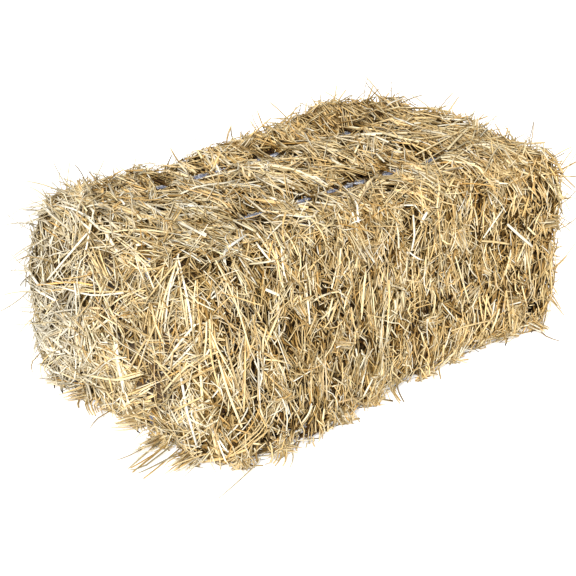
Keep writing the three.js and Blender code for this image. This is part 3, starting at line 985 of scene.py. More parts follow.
def tuft_stems(straw, rng, flake):
    """A spray of stems in the place of each tuft of the CAD flake."""
    for tip, base, _ in flake["tufts"]:
        reach = np.linalg.norm(tip - base)
        count = int(TUFT_STEMS + TUFT_STEMS_BY_LENGTH * reach)
        heading = (tip - base) / reach
        sideways = unit(np.cross(heading, rng.normal(0, 1, 3)))
        other = np.cross(heading, sideways)
        ray = turned(sideways, other, rng.uniform(0, 2 * math.pi, count)[:, None])
        out = ray * rng.uniform(0.1, 1, count)[:, None]
        start = base - heading * rng.uniform(*TUFT_ROOT, count)[:, None] + out * TUFT_ROOT_SPREAD
        away = heading * (reach * rng.uniform(*TUFT_REACH, count))[:, None]
        end = base + away + out * TUFT_END_SPREAD * reach
        share = share_along(TUFT_STEPS)
        bow = rng.normal(0, TUFT_BOW, (count, 1, 1)) * reach
        paths = mixed(start[:, None, :], end[:, None, :], share)
        paths = keep_inside(paths + ray[:, None, :] * bow * 4 * share * (1 - share), start)
        add_loose(straw, rng, paths, unit(end - start), ray, TUFT_WIDTH)
        cover_base(straw, rng, base, heading, sideways, other)


# The core of a flake, dark with painted shade: how far under the surface it lies, its rings, its bumps and
# its least radius
CORE_DEPTH = 0.021
CORE_DEPTH_AROUND = 1.15
CORE_RINGS = 6
CORE_SIDES = 52
CORE_BUMPS = 0.0012
CORE_RADIUS = 0.05
CORE_FLOOR = 0.002
CORE_FILL = (96, 68, 36)
OUTER_END = 0.44
END_OVERLAP = 0.0002

# Its part of the baked map: the width of its wall, and the place, width and real size of its two ends
WALL_WIDTH = 0.8
CORE_ENDS = (0.81, 0.91)
CORE_END_WIDTH = 0.08
CORE_END_ACROSS = 0.7
CORE_END_UP = 0.45


def core_rings(flake):
    """Rings of points round a flake, each a little under its surface."""
    reach = np.array([flake["low"], flake["high"]])
    outer = np.abs(reach) > OUTER_END
    reach = reach + np.where(outer, -np.sign(reach) * CORE_DEPTH, [END_OVERLAP, -END_OVERLAP])
    turn = (np.arange(CORE_SIDES) + 0.5) / CORE_SIDES * 2 * math.pi
    rays = np.stack([np.zeros(CORE_SIDES), np.cos(turn), np.sin(turn)], axis=-1)
    grid = np.zeros((CORE_RINGS, CORE_SIDES, 3))
    for number, x in enumerate(np.linspace(*reach, CORE_RINGS)):
        middle = Vector((x, 0, BALE_MIDDLE[2]))
        hits = [SKIN.ray_cast(middle, Vector(ray)) for ray in rays]
        far = np.array([0.0 if hit[3] is None else hit[3] for hit in hits])
        far = np.median([np.roll(far, -1), far, np.roll(far, 1)], axis=0)
        radius = np.maximum(far - CORE_DEPTH * CORE_DEPTH_AROUND, CORE_RADIUS)
        grid[number] = np.array(middle) + rays * radius[:, None]
    return grid


def core_ends():
    """The triangles of a core's two ends, from the point in the middle of each."""
    spots = np.arange(CORE_SIDES)
    after = (spots + 1) % CORE_SIDES
    last = (CORE_RINGS - 1) * CORE_SIDES
    middle = CORE_RINGS * CORE_SIDES
    back = np.stack([np.full(CORE_SIDES, middle), after, spots], axis=-1)
    front = np.stack([np.full(CORE_SIDES, middle + 1), last + spots, last + after], axis=-1)
    return np.concatenate([back.reshape(-1), front.reshape(-1)])


def add_core(straw, rng, flake):
    """The bumpy inside of a flake, painted dark brown as the shade between its stems, which shows only in the
    gaps between them.
    """
    grid = core_rings(flake)
    grid[1:-1, :, 1:] += rng.normal(0, CORE_BUMPS, (CORE_RINGS - 2, CORE_SIDES, 2))
    grid[..., 2] = np.maximum(grid[..., 2], CORE_FLOOR)
    vertices = np.concatenate([grid.reshape(-1, 3), grid[[0, -1]].mean(axis=1)])
    quads, ring, side = tube_quads(CORE_RINGS, CORE_SIDES)
    ends = core_ends()
    corners = np.concatenate([quads, ends])
    sizes = np.repeat([4, 3], [len(quads) // 4, len(ends) // 3])
    _, y, z = vertices[ends].T
    shift = np.repeat(CORE_ENDS, len(ends) // 2)
    end_u = shift + np.clip(y / CORE_END_ACROSS + 0.5, 0, 1) * CORE_END_WIDTH
    end_v = np.clip(z / CORE_END_UP, 0, 1)
    u = np.concatenate([side / CORE_SIDES * WALL_WIDTH, end_u])
    v = np.concatenate([ring / (CORE_RINGS - 1), end_v])
    bake = np.stack([u, v], axis=-1)
    fill = np.tile(linear(CORE_FILL), (len(vertices), 1))
    straw.add(vertices, fill, corners, sizes, bake, bake, np.full(len(corners), -1),
              np.zeros(len(sizes), bool), CORE_MATERIAL)


# The patterns of the materials: how often they repeat along each axis, their detail and their roughness
STEM_STREAKS = ((45.0, 9.0, 1.0), 4.0, 0.6)
STEM_BLOTCHES = ((60.0, 1.5, 1.0), 2.0, 0.5)
CORE_STRANDS = ((420.0, 70.0, 70.0), 3.0, 0.6)
FILM_FIBRES = ((90.0, 12.0, 1.0), 4.0, 0.65)

# What the patterns and maps become: each range of values is mapped to another
STREAK_SHADE = (0.30, 0.72, 0.80, 1.18)
STAINED = (0.60, 0.78, 0.0, 0.5)
JOINTED = (0.0, 0.0025, 0.6, 0.0)
IN_CUT_END = (-0.6, -0.4, 1.0, 0.0)
STRAW_ROUGHNESS = (0.3, 0.7, 0.68, 0.48)
CORE_BLEND = (0.35, 0.68, 0.0, 1.0)
FILM_SHEEN_SHARE = (0.54, 0.62, 0.0, 0.90)
FILM_ROUGHNESS = (0.3, 0.7, 0.5, 0.3)

# The strength and height of their bumps
STRAW_BUMPS = (0.35, 0.0004)
MAT_BUMPS = (0.8, 0.003)
FILM_BUMPS = (0.6, 0.0006)

# What the straw's colour is multiplied by in stains, at its joints, and on its cut ends as the painted shade
# of their hollows
STAIN_TINT = (0.60, 0.48, 0.34, 1)
JOINT_TINT = (0.4, 0.3, 0.2, 1)
HOLLOW_TINT = (0.30, 0.24, 0.16, 1)
HALF_JOINT_SPACING = 0.09
STRAW_SHINE = 0.15
FILM_SHINE = 0.55
MAT_ROUGHNESS = 0.9
# The browns of the core: painted shade
CORE_DARK = (34, 24, 12)
CORE_LIGHT = (98, 72, 38)
# The pale of the twine's painted sheen
FILM_PAINTED_SHEEN = (226, 228, 232)


def new_material(name):
    """A node material with its shader and output."""
    material = bpy.data.materials.new(name)
    material.use_nodes = True
    tree = material.node_tree
    tree.nodes.clear()
    output = tree.nodes.new("ShaderNodeOutputMaterial")
    shader = tree.nodes.new("ShaderNodeBsdfPrincipled")
    tree.links.new(shader.outputs["BSDF"], output.inputs["Surface"])
    return material, tree, shader


def put(tree, socket, value):
    """Links a socket to another node's output, or sets it to a plain value."""
    if isinstance(value, bpy.types.NodeSocket):
        tree.links.new(value, socket)
    else:
        socket.default_value = value


def opaque(rgb):
    return (*linear(rgb), 1)


def distance_to_multiple(tree, value, half_spacing):
    """How far a value is from the nearest even multiple of half_spacing."""
    node = tree.nodes.new("ShaderNodeMath")
    node.operation = "PINGPONG"
    put(tree, node.inputs[0], value)
    put(tree, node.inputs[1], half_spacing)
    return node.outputs[0]


def map_range(tree, value, ranges):
    node = tree.nodes.new("ShaderNodeMapRange")
    for name, wanted in zip(("Value", "From Min", "From Max", "To Min", "To Max"), (value, *ranges)):
        put(tree, node.inputs[name], wanted)
    return node.outputs["Result"]


def mix_colour(tree, blend, factor, first, second):
    node = tree.nodes.new("ShaderNodeMix")
    node.data_type = "RGBA"
    node.blend_type = blend
    for name, value in (("Factor", factor), ("A", first), ("B", second)):
        put(tree, next(s for s in node.inputs if s.name == name and s.enabled), value)
    return next(s for s in node.outputs if s.enabled)


def multiplied(tree, first, second):
    return mix_colour(tree, "MULTIPLY", 1.0, first, second)


def noise(tree, vector, pattern):
    """Noise over a map or place that is stretched along each axis."""
    stretch, detail, roughness = pattern
    mapping = tree.nodes.new("ShaderNodeMapping")
    mapping.inputs["Scale"].default_value = stretch
    tree.links.new(vector, mapping.inputs["Vector"])
    node = tree.nodes.new("ShaderNodeTexNoise")
    node.inputs["Scale"].default_value = 1.0
    node.inputs["Detail"].default_value = detail
    node.inputs["Roughness"].default_value = roughness
    tree.links.new(mapping.outputs["Vector"], node.inputs["Vector"])
    return node.outputs["Fac"]


def bump(tree, shader, height, strength, distance):
    node = tree.nodes.new("ShaderNodeBump")
    node.inputs["Strength"].default_value = strength
    node.inputs["Distance"].default_value = distance
    tree.links.new(height, node.inputs["Height"])
    tree.links.new(node.outputs["Normal"], shader.inputs["Normal"])


def stem_coordinates(tree):
    """The map that runs along each stem in metres, and round it from 0 to 1."""
    stem_map = tree.nodes.new("ShaderNodeUVMap")
    stem_map.uv_map = "Stem"
    return stem_map.outputs["UV"]


def stem_tint(tree):
    # Each stem's colour: its tone, with its painted shade of depth and underside
    tint = tree.nodes.new("ShaderNodeAttribute")
    tint.attribute_name = "Straw"
    return tint.outputs["Color"]


def straw_material():
    """Dry straw: each stem's own colour with its painted shade, streaked lengthwise, with darker joints, and
    cut ends darkened by the painted shade of their hollows.
    """
    material, tree, shader = new_material("straw stems")
    place, tint = stem_coordinates(tree), stem_tint(tree)
    parts = tree.nodes.new("ShaderNodeSeparateXYZ")
    tree.links.new(place, parts.inputs["Vector"])
    along = parts.outputs["X"]
    streaks = noise(tree, place, STEM_STREAKS)
    blotches = noise(tree, place, STEM_BLOTCHES)

    grey = tree.nodes.new("ShaderNodeCombineColor")
    shade = map_range(tree, streaks, STREAK_SHADE)
    for name in ("Red", "Green", "Blue"):
        tree.links.new(shade, grey.inputs[name])
    streaked = multiplied(tree, tint, grey.outputs["Color"])
    stained = map_range(tree, blotches, STAINED)
    coloured = mix_colour(tree, "MIX", stained, streaked, multiplied(tree, streaked, STAIN_TINT))

    from_joint = distance_to_multiple(tree, along, HALF_JOINT_SPACING)
    joint = map_range(tree, from_joint, JOINTED)
    jointed = mix_colour(tree, "MIX", joint, coloured, multiplied(tree, coloured, JOINT_TINT))
    # Painted shade: the cut ends are darkened as the hollow of a stem would be
    cut_end = map_range(tree, along, IN_CUT_END)
    finished = mix_colour(tree, "MIX", cut_end, jointed, multiplied(tree, jointed, HOLLOW_TINT))
    tree.links.new(finished, shader.inputs["Base Color"])
    tree.links.new(map_range(tree, streaks, STRAW_ROUGHNESS), shader.inputs["Roughness"])
    shader.inputs["Specular IOR Level"].default_value = STRAW_SHINE
    bump(tree, shader, streaks, *STRAW_BUMPS)
    return material


def core_material():
    """The mat of straw inside the bale, in the dark browns of painted shade."""
    material, tree, shader = new_material("straw core in painted shade")
    place = tree.nodes.new("ShaderNodeTexCoord")
    strands = noise(tree, place.outputs["Object"], CORE_STRANDS)
    blend = map_range(tree, strands, CORE_BLEND)
    colour = mix_colour(tree, "MIX", blend, opaque(CORE_DARK), opaque(CORE_LIGHT))
    tree.links.new(colour, shader.inputs["Base Color"])
    shader.inputs["Roughness"].default_value = MAT_ROUGHNESS
    bump(tree, shader, strands, *MAT_BUMPS)
    return material


def twine_material():
    """Split-film polypropylene: slate blue fibres, shiny, with pale streaks of painted sheen between them."""
    material, tree, shader = new_material("twine film")
    fibres = noise(tree, stem_coordinates(tree), FILM_FIBRES)
    # Painted sheen: pale streaks mixed into the slate blue
    pale = map_range(tree, fibres, FILM_SHEEN_SHARE)
    colour = mix_colour(tree, "MIX", pale, stem_tint(tree), opaque(FILM_PAINTED_SHEEN))
    tree.links.new(colour, shader.inputs["Base Color"])
    tree.links.new(map_range(tree, fibres, FILM_ROUGHNESS), shader.inputs["Roughness"])
    shader.inputs["Specular IOR Level"].default_value = FILM_SHINE
    bump(tree, shader, fibres, *FILM_BUMPS)
    return material


def finish_piece(piece, node):
    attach(piece, "root")
    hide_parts(node)


def make_flakes():
    """One piece for each flake: its core, its pressed straw, its strays and its tufts."""
    materials = [straw_material(), core_material()]
    plans = [LEFT_FLAKE] + [OTHER_FLAKE] * (len(FLAKES) - 2) + [RIGHT_FLAKE]
    for number, (node, plan) in enumerate(zip(FLAKES, plans)):
        flake = FLAKES[node]
        rng = np.random.default_rng(FLAKE_SEED + number)
        straw = Straw()
        add_core(straw, rng, flake)
        tuft_stems(straw, rng, flake)
        stray_stems(straw, rng, flake, plan["strays"])
        edge_stems(straw, rng, flake, plan["edges"])
        combed_stems(straw, rng, node)
        single_stems(straw, rng, node)
        clear_stems(straw, rng, node)
        lay_straw(straw, rng, flake, plan["triangles"] - straw.triangles(), plan["bundle"])
        finish_piece(straw.build(f"{node}_straw", materials), node)


def loop_path(line):
    """Evenly spaced points along a string's loop, in the plane of X and Z, with the way out of the bale."""
    end, low, high = line["half"] - TWINE_BEND, line["low"] + TWINE_BEND, line["high"] - TWINE_BEND
    outline = []
    for x, z, start in ((end, low, -90), (end, high, 0), (-end, high, 90), (-end, low, 180)):
        for step in range(CORNER_STEPS + 1):
            angle = math.radians(start + 90 * step / CORNER_STEPS)
            outline.append((x + TWINE_BEND * math.cos(angle), z + TWINE_BEND * math.sin(angle)))
    outline = np.array(outline + outline[:1])
    length = length_along(outline)
    count = int(length[-1] / TWINE_STEP)
    places = np.arange(count) * length[-1] / count
    x, z = (np.interp(places, length, outline[:, i]) for i in range(2))
    points = np.stack([x, np.full(count, line["y"]), z], axis=-1)
    heading = unit(np.roll(points, -1, axis=0) - np.roll(points, 1, axis=0))
    return points, heading, np.cross(heading, [0, -1, 0]), places


def strand_surface(rng, points, sideways, outward, places, radius, sides, pitch):
    """The points round a twine and their colours, with the three lobes of laid twine turning along it, and
    painted shade in the grooves between them.
    """
    turn = np.arange(sides) / sides * 2 * math.pi
    lay = places / pitch * 2 * math.pi
    lobes = np.abs(np.cos(1.5 * (turn[None, :] - lay[:, None])))
    swell = 1 + 0.10 * np.sin(places * 61) + 0.08 * np.sin(places * 173 + 1)
    size = radius * swell[:, None] * placed(STRAND_LOBES, lobes)
    ring = turned(sideways[:, None, :], outward[:, None, :], turn[None, :, None])
    vertices = on_floor(points[:, None, :] + ring * size[..., None])
    # Random tone, with painted shade: lighter on the crests of the strands, darker in the grooves between
    # them
    tone = rng.random((len(points), sides, 1)) * 0.5 + 0.4 * lobes[..., None]
    return vertices, mixed(linear(STRAND_DARK), linear(STRAND_LIGHT), tone)


# How many rings of a twine share a cell of the baked map, and the start and size of their walls round it
CELL_RINGS = 40
TWINE_AROUND = (0.05, 0.9)


def add_strand_tube(straw, rng, points, sideways, outward, places, radius, closed, sides, pitch):
    """A twine along points, closed in a loop or with two cut ends."""
    count = len(points)
    vertices, colours = strand_surface(rng, points, sideways, outward, places, radius, sides, pitch)
    corners, u, side = tube_quads(count, sides, closed)
    v = side / sides
    sizes = np.full(len(corners) // 4, 4)
    row = np.repeat(np.arange(len(sizes) // sides), 4 * sides)
    if not closed:
        corners = np.concatenate([corners, tube_caps(count, sides)])
        sizes = np.concatenate([sizes, [sides, sides]])
        u = np.concatenate([u, np.zeros(2 * sides)])
        v = np.concatenate([v, np.tile(np.arange(sides) / sides, 2)])
        row = np.concatenate([row, np.zeros(2 * sides, int)])
    cell = row // CELL_RINGS
    bake = np.stack([placed(WALLS_ALONG, u / CELL_RINGS - cell), placed(TWINE_AROUND, v)], axis=-1)
    along = u * (places[1] - places[0])
    stem_map = np.stack([along, v + along / pitch], axis=-1)
    straw.add(vertices, colours, corners, sizes, stem_map, bake, straw.stems + cell,
              np.zeros(len(sizes), bool), STEM_MATERIAL)
    straw.stems += int(cell.max()) + 1


def add_fibrils(straw, rng, points, heading, outward, sideways, count):
    """Loose slivers of film that stand a little off the twine."""
    at = rng.integers(0, len(points), count)
    ray = turned(sideways[at], outward[at], rng.uniform(0, 2 * math.pi, count)[:, None])
    length = rng.uniform(*FIBRIL_LENGTH, count)
    away = rng.uniform(*FIBRIL_RISE, count)
    share = share_along(FIBRIL_STEPS)
    start = points[at] + ray * TWINE_RADIUS * FIBRIL_ROOT
    paths = start[:, None, :] + heading[at][:, None, :] * share * length[:, None, None]
    paths = paths + ray[:, None, :] * (share ** rng.choice([1, 2], (count, 1, 1))) * away[:, None, None]
    width = rng.uniform(*FIBRIL_WIDTH, count)
    wide = np.cross(heading[at], ray) * width[:, None] / 2
    # Painted sheen: tones towards the pale one stand in for highlights on the film
    tone = rng.random((count, 1, 1)) ** FIBRIL_TONE_POWER
    colours = mixed(linear(FIBRIL_DARK), linear(FIBRIL_LIGHT), tone)
    straw.add_tubes(paths, wide, ray * FIBRIL_THICKNESS, np.repeat(colours, FIBRIL_STEPS, axis=1))


def curve_frame(points):
    """Directions along and across a smooth line of points."""
    heading = unit(np.gradient(points, axis=0))
    side = unit(np.cross(heading, [0.3, 0.2, 0.93]))
    return heading, side, np.cross(heading, side)


def smooth_line(knots, count):
    """A smooth line through a few points, by Catmull and Rom's rule."""
    knots = np.array(knots, float)
    padded = np.concatenate([[2 * knots[0] - knots[1]], knots, [2 * knots[-1] - knots[-2]]])
    at = np.linspace(0, len(knots) - 1, count)
    part = np.minimum(at.astype(int), len(knots) - 2)
    t = (at - part)[:, None]
    a, b, c, d = (padded[part + i] for i in range(4))
    square = 2 * a - 5 * b + 4 * c - d
    cube = 3 * b - a - 3 * c + d
    return 0.5 * (2 * b + (c - a) * t + square * t ** 2 + cube * t ** 3)


def knot_ropes(middle):
    """The lines of the knot and of its two cut tails."""
    t = np.linspace(0.25, 2 * math.pi + 0.05, KNOT_STEPS)
    knot = np.stack([-KNOT_SIZE * np.sin(3 * t) * 1.2 + 0.001, KNOT_SIZE * (np.sin(t) + 2 * np.sin(2 * t)),
                     KNOT_SIZE * (np.cos(t) - 2 * np.cos(2 * t))], axis=-1) + middle
    ropes = [knot]
    for way in (1, -1):
        bend = middle + [0.014, way * 0.014, 0.002]
        end = middle + [0.040 * (0.6 + 0.1 * way), way * 0.028, -0.014]
        ropes.append(smooth_line([middle, bend, end], TAIL_STEPS))
    return ropes


def add_knot(straw, rng, line):
    """The knot that the baler ties, and its two cut tails, frayed at their ends."""
    ropes = knot_ropes(np.array([line["half"] + KNOT_OUT, line["y"], KNOT_HEIGHT]))
    for rope in ropes:
        _, side, up = curve_frame(rope)
        add_strand_tube(straw, rng, rope, side, -up, length_along(rope), ROPE_RADIUS, False, ROPE_SIDES,
                        ROPE_PITCH)
    for rope in ropes[1:]:
        heading, side, up = (rows[TAIL_END] for rows in curve_frame(rope))
        add_fibrils(straw, rng, rope[TAIL_END], heading, up, side, TAIL_FIBRILS)


def make_twines():
    """The two strings, laid and frayed, each with its knot."""
    film = twine_material()
    for number, (node, line) in enumerate(TWINES.items()):
        rng = np.random.default_rng(TWINE_SEED + number)
        straw = Straw()
        points, heading, outward, places = loop_path(line)
        spread = np.tile([0.0, TWINE_SPREAD, 0.0], (len(points), 1))
        add_strand_tube(straw, rng, points, -spread, outward, places, TWINE_RADIUS * TWINE_SWELL, True,
                        STRAND_SIDES, STRAND_PITCH)
        add_fibrils(straw, rng, points, heading, outward, spread, FIBRILS)
        add_knot(straw, rng, line)
        finish_piece(straw.build(f"{node}_film", [film]), node)


def view_axes():
    """Directions to the camera, to its right and up."""
    level = math.cos(ELEVATION)
    back = np.array([math.sin(AZIMUTH) * level, -math.cos(AZIMUTH) * level, math.sin(ELEVATION)])
    right = np.array([math.cos(AZIMUTH), math.sin(AZIMUTH), 0.0])
    return back, right, np.cross(back, right)


def camera_place():
    back, right, up = view_axes()
    aim = np.array([0, 0, AIM_HEIGHT]) + right * AIM_RIGHT + up * AIM_UP
    return aim + back * DISTANCE, aim


def sight(pixel):
    """The camera's place and the direction in which it sees a pixel of the photograph."""
    back, right, up = view_axes()
    place, _ = camera_place()
    scale = SENSOR / LENS / FRAME_PIXELS
    x, y = (pixel[0] - FRAME_PIXELS / 2) * scale, (FRAME_PIXELS / 2 - pixel[1]) * scale
    return place, unit(-back + right * x + up * y)


# Single stems that stand out in the photograph: the pixels that each runs through, its width and its tone.
# From a pixel that lies off the bale onwards, a stem stands out from it.
SINGLE_STEMS = [
    ([(51, 279), (88, 237), (124, 196)], 0.0046, "bleached"),
    ([(139, 205), (172, 223), (206, 241)], 0.0056, "bleached"),
    ([(181, 256), (173, 288), (168, 330)], 0.0042, "bleached"),
    ([(180, 262), (169, 294), (162, 320)], 0.0040, "pale"),
    ([(180, 258), (189, 294), (196, 335)], 0.0044, "bleached"),
    ([(179, 262), (184, 292), (190, 328)], 0.0038, "pale"),
    ([(150, 300), (176, 268), (205, 248)], 0.0036, "gold"),
    ([(205, 245), (224, 290), (255, 332), (275, 338)], 0.0038, "pale"),
    ([(218, 358), (228, 392), (241, 426)], 0.0048, "pale"),
    ([(214, 262), (232, 300), (248, 352)], 0.0034, "pale"),
    ([(262, 289), (276, 295)], 0.0060, "bleached"),
    ([(474, 158), (493, 182), (505, 184)], 0.0048, "bleached"),
    ([(501, 207), (490, 222), (480, 237)], 0.0042, "bleached"),
    ([(504, 223), (516, 234), (529, 245)], 0.0060, "bleached"),
    ([(478, 240), (492, 241), (506, 243)], 0.0046, "gold"),
    ([(437, 130), (458, 128), (482, 129)], 0.0042, "bleached"),
    ([(470, 130), (458, 142), (447, 154)], 0.0048, "pale"),
    ([(452, 255), (462, 290), (466, 302)], 0.0038, "pale"),
    ([(410, 215), (411, 235), (408, 250)], 0.0048, "bleached"),
    ([(523, 250), (527, 280), (524, 300)], 0.0042, "pale"),
    ([(447, 330), (462, 325), (490, 318)], 0.0040, "gold"),
    ([(424, 212), (418, 222)], 0.0060, "bleached"),
    ([(86, 372), (120, 378), (148, 372)], 0.0052, "pale"),
    ([(80, 290), (118, 291), (150, 290)], 0.0036, "gold"),
    ([(100, 235), (140, 233), (190, 240)], 0.0034, "pale"),
    ([(62, 285), (95, 294), (128, 292)], 0.0038, "bleached"),
    ([(92, 262), (110, 300), (128, 336)], 0.0040, "pale"),
    ([(160, 320), (150, 345), (140, 372)], 0.0036, "gold"),
    ([(205, 395), (180, 408), (150, 420)], 0.0040, "gold"),
    ([(218, 350), (190, 365), (166, 392)], 0.0044, "pale"),
]
SINGLE_HEIGHT = 0.0085
SINGLE_POINTS = 7
SINGLE_SIDES = 6
SINGLE_FLATNESS = 0.55
SINGLE_TILT = 0.2
SINGLE_BRIGHTNESS = (0.80, 0.98)
SINGLE_LIGHTEST = 0.97
SINGLE_TAPER = [0.75, 0.95, 1, 1, 1, 0.95, 0.8]

# Combed bundles that stand out in the photograph: the pixels that the middle stem runs through, how many
# stems lie side by side, how many pixels apart, and their tone
COMBED_STEMS = [
    ([(34, 225), (41, 244), (49, 263)], 5, 3, "bleached"),
    ([(45, 221), (75, 238)], 4, 3, "gold"),
    ([(52, 203), (70, 212), (85, 228)], 7, 3, "pale"),
    ([(85, 206), (107, 196)], 4, 3, "pale"),
    ([(90, 241), (99, 262), (110, 281)], 6, 3, "gold"),
    ([(110, 241), (132, 256), (155, 273)], 9, 3, "pale"),
    ([(122, 233), (150, 239), (175, 248)], 6, 3, "gold"),
    ([(60, 273), (87, 256)], 4, 3, "pale"),
    ([(40, 289), (75, 286), (102, 291)], 5, 3, "pale"),
    ([(40, 321), (65, 293)], 5, 3, "gold"),
    ([(90, 301), (115, 321), (127, 336)], 5, 3, "bleached"),
    ([(75, 313), (85, 351), (89, 363)], 6, 2.5, "bleached"),
    ([(38, 331), (55, 356)], 6, 3, "gold"),
    ([(44, 361), (77, 341)], 5, 3, "pale"),
    ([(52, 371), (85, 385)], 7, 4, "gold"),
    ([(95, 341), (132, 356)], 5, 3, "pale"),
    ([(97, 356), (132, 378)], 6, 4, "gold"),
    ([(102, 386), (128, 380), (152, 376)], 8, 3, "gold"),
    ([(108, 402), (157, 388)], 7, 4, "gold"),
    ([(155, 301), (152, 341), (162, 381)], 7, 3, "gold"),
    ([(182, 442), (156, 460), (132, 474)], 10, 2.5, "gold"),
    ([(176, 446), (160, 458), (146, 468)], 9, 2.5, "gold"),
    ([(184, 452), (180, 468), (176, 476)], 6, 4, "gold"),
    ([(282, 440), (286, 456), (280, 467)], 9, 3, "gold"),
    ([(300, 432), (302, 444), (305, 451)], 7, 3, "gold"),
    ([(394, 380), (396, 392), (401, 403)], 8, 3, "gold"),
    ([(434, 362), (434, 380)], 7, 3, "gold"),
    ([(96, 392), (88, 404), (92, 415)], 7, 3, "gold"),
    ([(46, 352), (36, 364), (38, 376)], 6, 3, "gold"),
    ([(100, 318), (130, 300), (150, 296)], 5, 3, "pale"),
    ([(57, 300), (70, 320), (88, 330)], 5, 3, "bleached"),
    ([(112, 205), (128, 198), (148, 200)], 5, 3, "gold"),
    ([(175, 281), (167, 311), (162, 336)], 5, 3, "pale"),
    ([(187, 281), (190, 311), (196, 341)], 6, 3, "pale"),
    ([(162, 388), (187, 371), (217, 353)], 8, 3, "gold"),
    ([(217, 326), (222, 356), (235, 396)], 4, 4, "gold"),
    ([(202, 256), (222, 281), (237, 306)], 4, 4, "gold"),
    ([(177, 398), (192, 416)], 6, 4, "gold"),
    ([(142, 206), (172, 223), (207, 241)], 3, 2, "bleached"),
    ([(120, 414), (160, 400)], 8, 4, "gold"),
    ([(135, 424), (166, 434)], 6, 3, "gold"),
    ([(172, 452), (196, 421)], 8, 4, "gold"),
    ([(225, 454), (251, 430), (263, 406)], 7, 4, "gold"),
    ([(233, 367), (251, 409)], 6, 3, "grey"),
    ([(247, 329), (250, 376), (252, 411)], 7, 3, "grey"),
    ([(257, 349), (259, 389)], 4, 3, "bleached"),
    ([(325, 324), (335, 296)], 6, 2.5, "pale"),
    ([(350, 404), (360, 349)], 5, 4, "gold"),
    ([(362, 329), (364, 271)], 5, 3, "pale"),
    ([(260, 229), (270, 248), (282, 264)], 5, 4, "pale"),
    ([(232, 261), (255, 289)], 5, 4, "pale"),
    ([(385, 279), (387, 319)], 4, 4, "gold"),
    ([(402, 264), (407, 309)], 4, 4, "pale"),
    ([(215, 329), (220, 359), (245, 419)], 3, 2, "pale"),
    ([(419, 165), (464, 140), (490, 124)], 7, 4, "pale"),
    ([(441, 127), (491, 133)], 4, 2.5, "bleached"),
    ([(441, 200), (456, 172)], 6, 4, "gold"),
    ([(439, 205), (441, 250)], 6, 4, "gold"),
    ([(536, 172), (548, 190), (554, 210)], 8, 4, "gold"),
    ([(516, 215), (521, 190)], 6, 4, "gold"),
    ([(531, 245), (529, 285)], 5, 3, "pale"),
    ([(506, 152), (545, 152)], 6, 3, "gold"),
    ([(501, 290), (504, 330)], 6, 5, "gold"),
    ([(481, 295), (486, 325)], 5, 4, "gold"),
    ([(541, 265), (536, 310)], 5, 4, "gold"),
    ([(384, 127), (441, 137)], 6, 3, "tan"),
    ([(341, 108), (364, 120)], 6, 4, "gold"),
    ([(294, 170), (344, 177)], 4, 3, "pale"),
    ([(234, 133), (271, 118), (298, 110)], 6, 3, "pale"),
    ([(171, 152), (204, 146), (238, 131)], 6, 3, "pale"),
    ([(298, 157), (338, 177)], 8, 4, "gold"),
    ([(244, 140), (298, 164)], 8, 4, "gold"),
]
# Their line is read at COMBED_POINTS places. Each stem starts and ends somewhere along it, lies some pixels
# askew, has its own height, width and brightness, and its bundle's tone by a chance of COMBED_OWN_TONE.
COMBED_POINTS = 9
COMBED_STEPS = 5
COMBED_START = (-0.08, 0.30)
COMBED_END = (0.70, 1.08)
COMBED_JITTER = 0.9
COMBED_ASKEW = 4.5
COMBED_HEIGHT = (0.001, 0.0075)
COMBED_WIDTH = (0.0024, 0.0046)
COMBED_FLATNESS = (0.4, 0.9)
COMBED_TILT = 0.4
COMBED_OWN_TONE = 0.55
COMBED_BRIGHTNESS = (-0.08, 0.30)
COMBED_SIDES = 4
COMBED_TAPER = [0.8, 1, 1, 1, 0.8]

# Stems that stand clear of the bale in the photograph: the pixel of the root, the pixels of the rest, and
# the width
CLEAR_STEMS = [
    ([(75, 236), (40, 205), (12, 214), (2, 226)], 0.0034),
    ([(70, 222), (38, 196)], 0.0030),
    ([(60, 300), (30, 282), (18, 268)], 0.0026),
    ([(52, 262), (26, 256), (14, 272)], 0.0024),
    ([(60, 322), (10, 325)], 0.0026),
    ([(58, 308), (8, 307)], 0.0024),
    ([(70, 345), (40, 358)], 0.0028),
    ([(62, 375), (38, 378)], 0.0028),
    ([(110, 175), (85, 150)], 0.0022),
    ([(205, 152), (196, 140), (182, 130)], 0.0026),
    ([(265, 140), (254, 121), (252, 112)], 0.0022),
    ([(352, 96), (349, 82)], 0.0030),
    ([(392, 100), (391, 84), (394, 78)], 0.0024),
    ([(476, 142), (494, 120), (507, 98)], 0.0026),
    ([(465, 122), (474, 112)], 0.0028),
    ([(452, 116), (455, 96)], 0.0034),
    ([(532, 150), (528, 138), (526, 132)], 0.0022),
    ([(556, 165), (570, 158)], 0.0028),
    ([(548, 330), (560, 334), (576, 326)], 0.0038),
    ([(530, 322), (546, 336), (560, 341)], 0.0036),
    ([(430, 378), (440, 391)], 0.0030),
    ([(344, 432), (346, 440), (343, 446)], 0.0024),
    ([(258, 462), (242, 478), (219, 498)], 0.0036),
    ([(285, 464), (290, 482)], 0.0028),
    ([(210, 450), (176, 486)], 0.0028),
    ([(178, 440), (140, 470), (120, 476)], 0.0042),
    ([(188, 448), (150, 468), (138, 473)], 0.0040),
    ([(160, 440), (128, 456), (116, 460)], 0.0034),
    ([(116, 408), (98, 418), (90, 428)], 0.0030),
    ([(168, 452), (164, 480), (170, 494)], 0.0022),
]
CLEAR_ROOT = 0.008
CLEAR_HEIGHT = 0.01
CLEAR_LOWEST = 0.004
CLEAR_POINTS = 7
CLEAR_SIDES = 4
CLEAR_FLATNESS = 0.6
CLEAR_TILT = 0.3
CLEAR_BRIGHTNESS = 0.60
CLEAR_TAPER = [1, 1, 1, 0.95, 0.85, 0.7, 0.45]


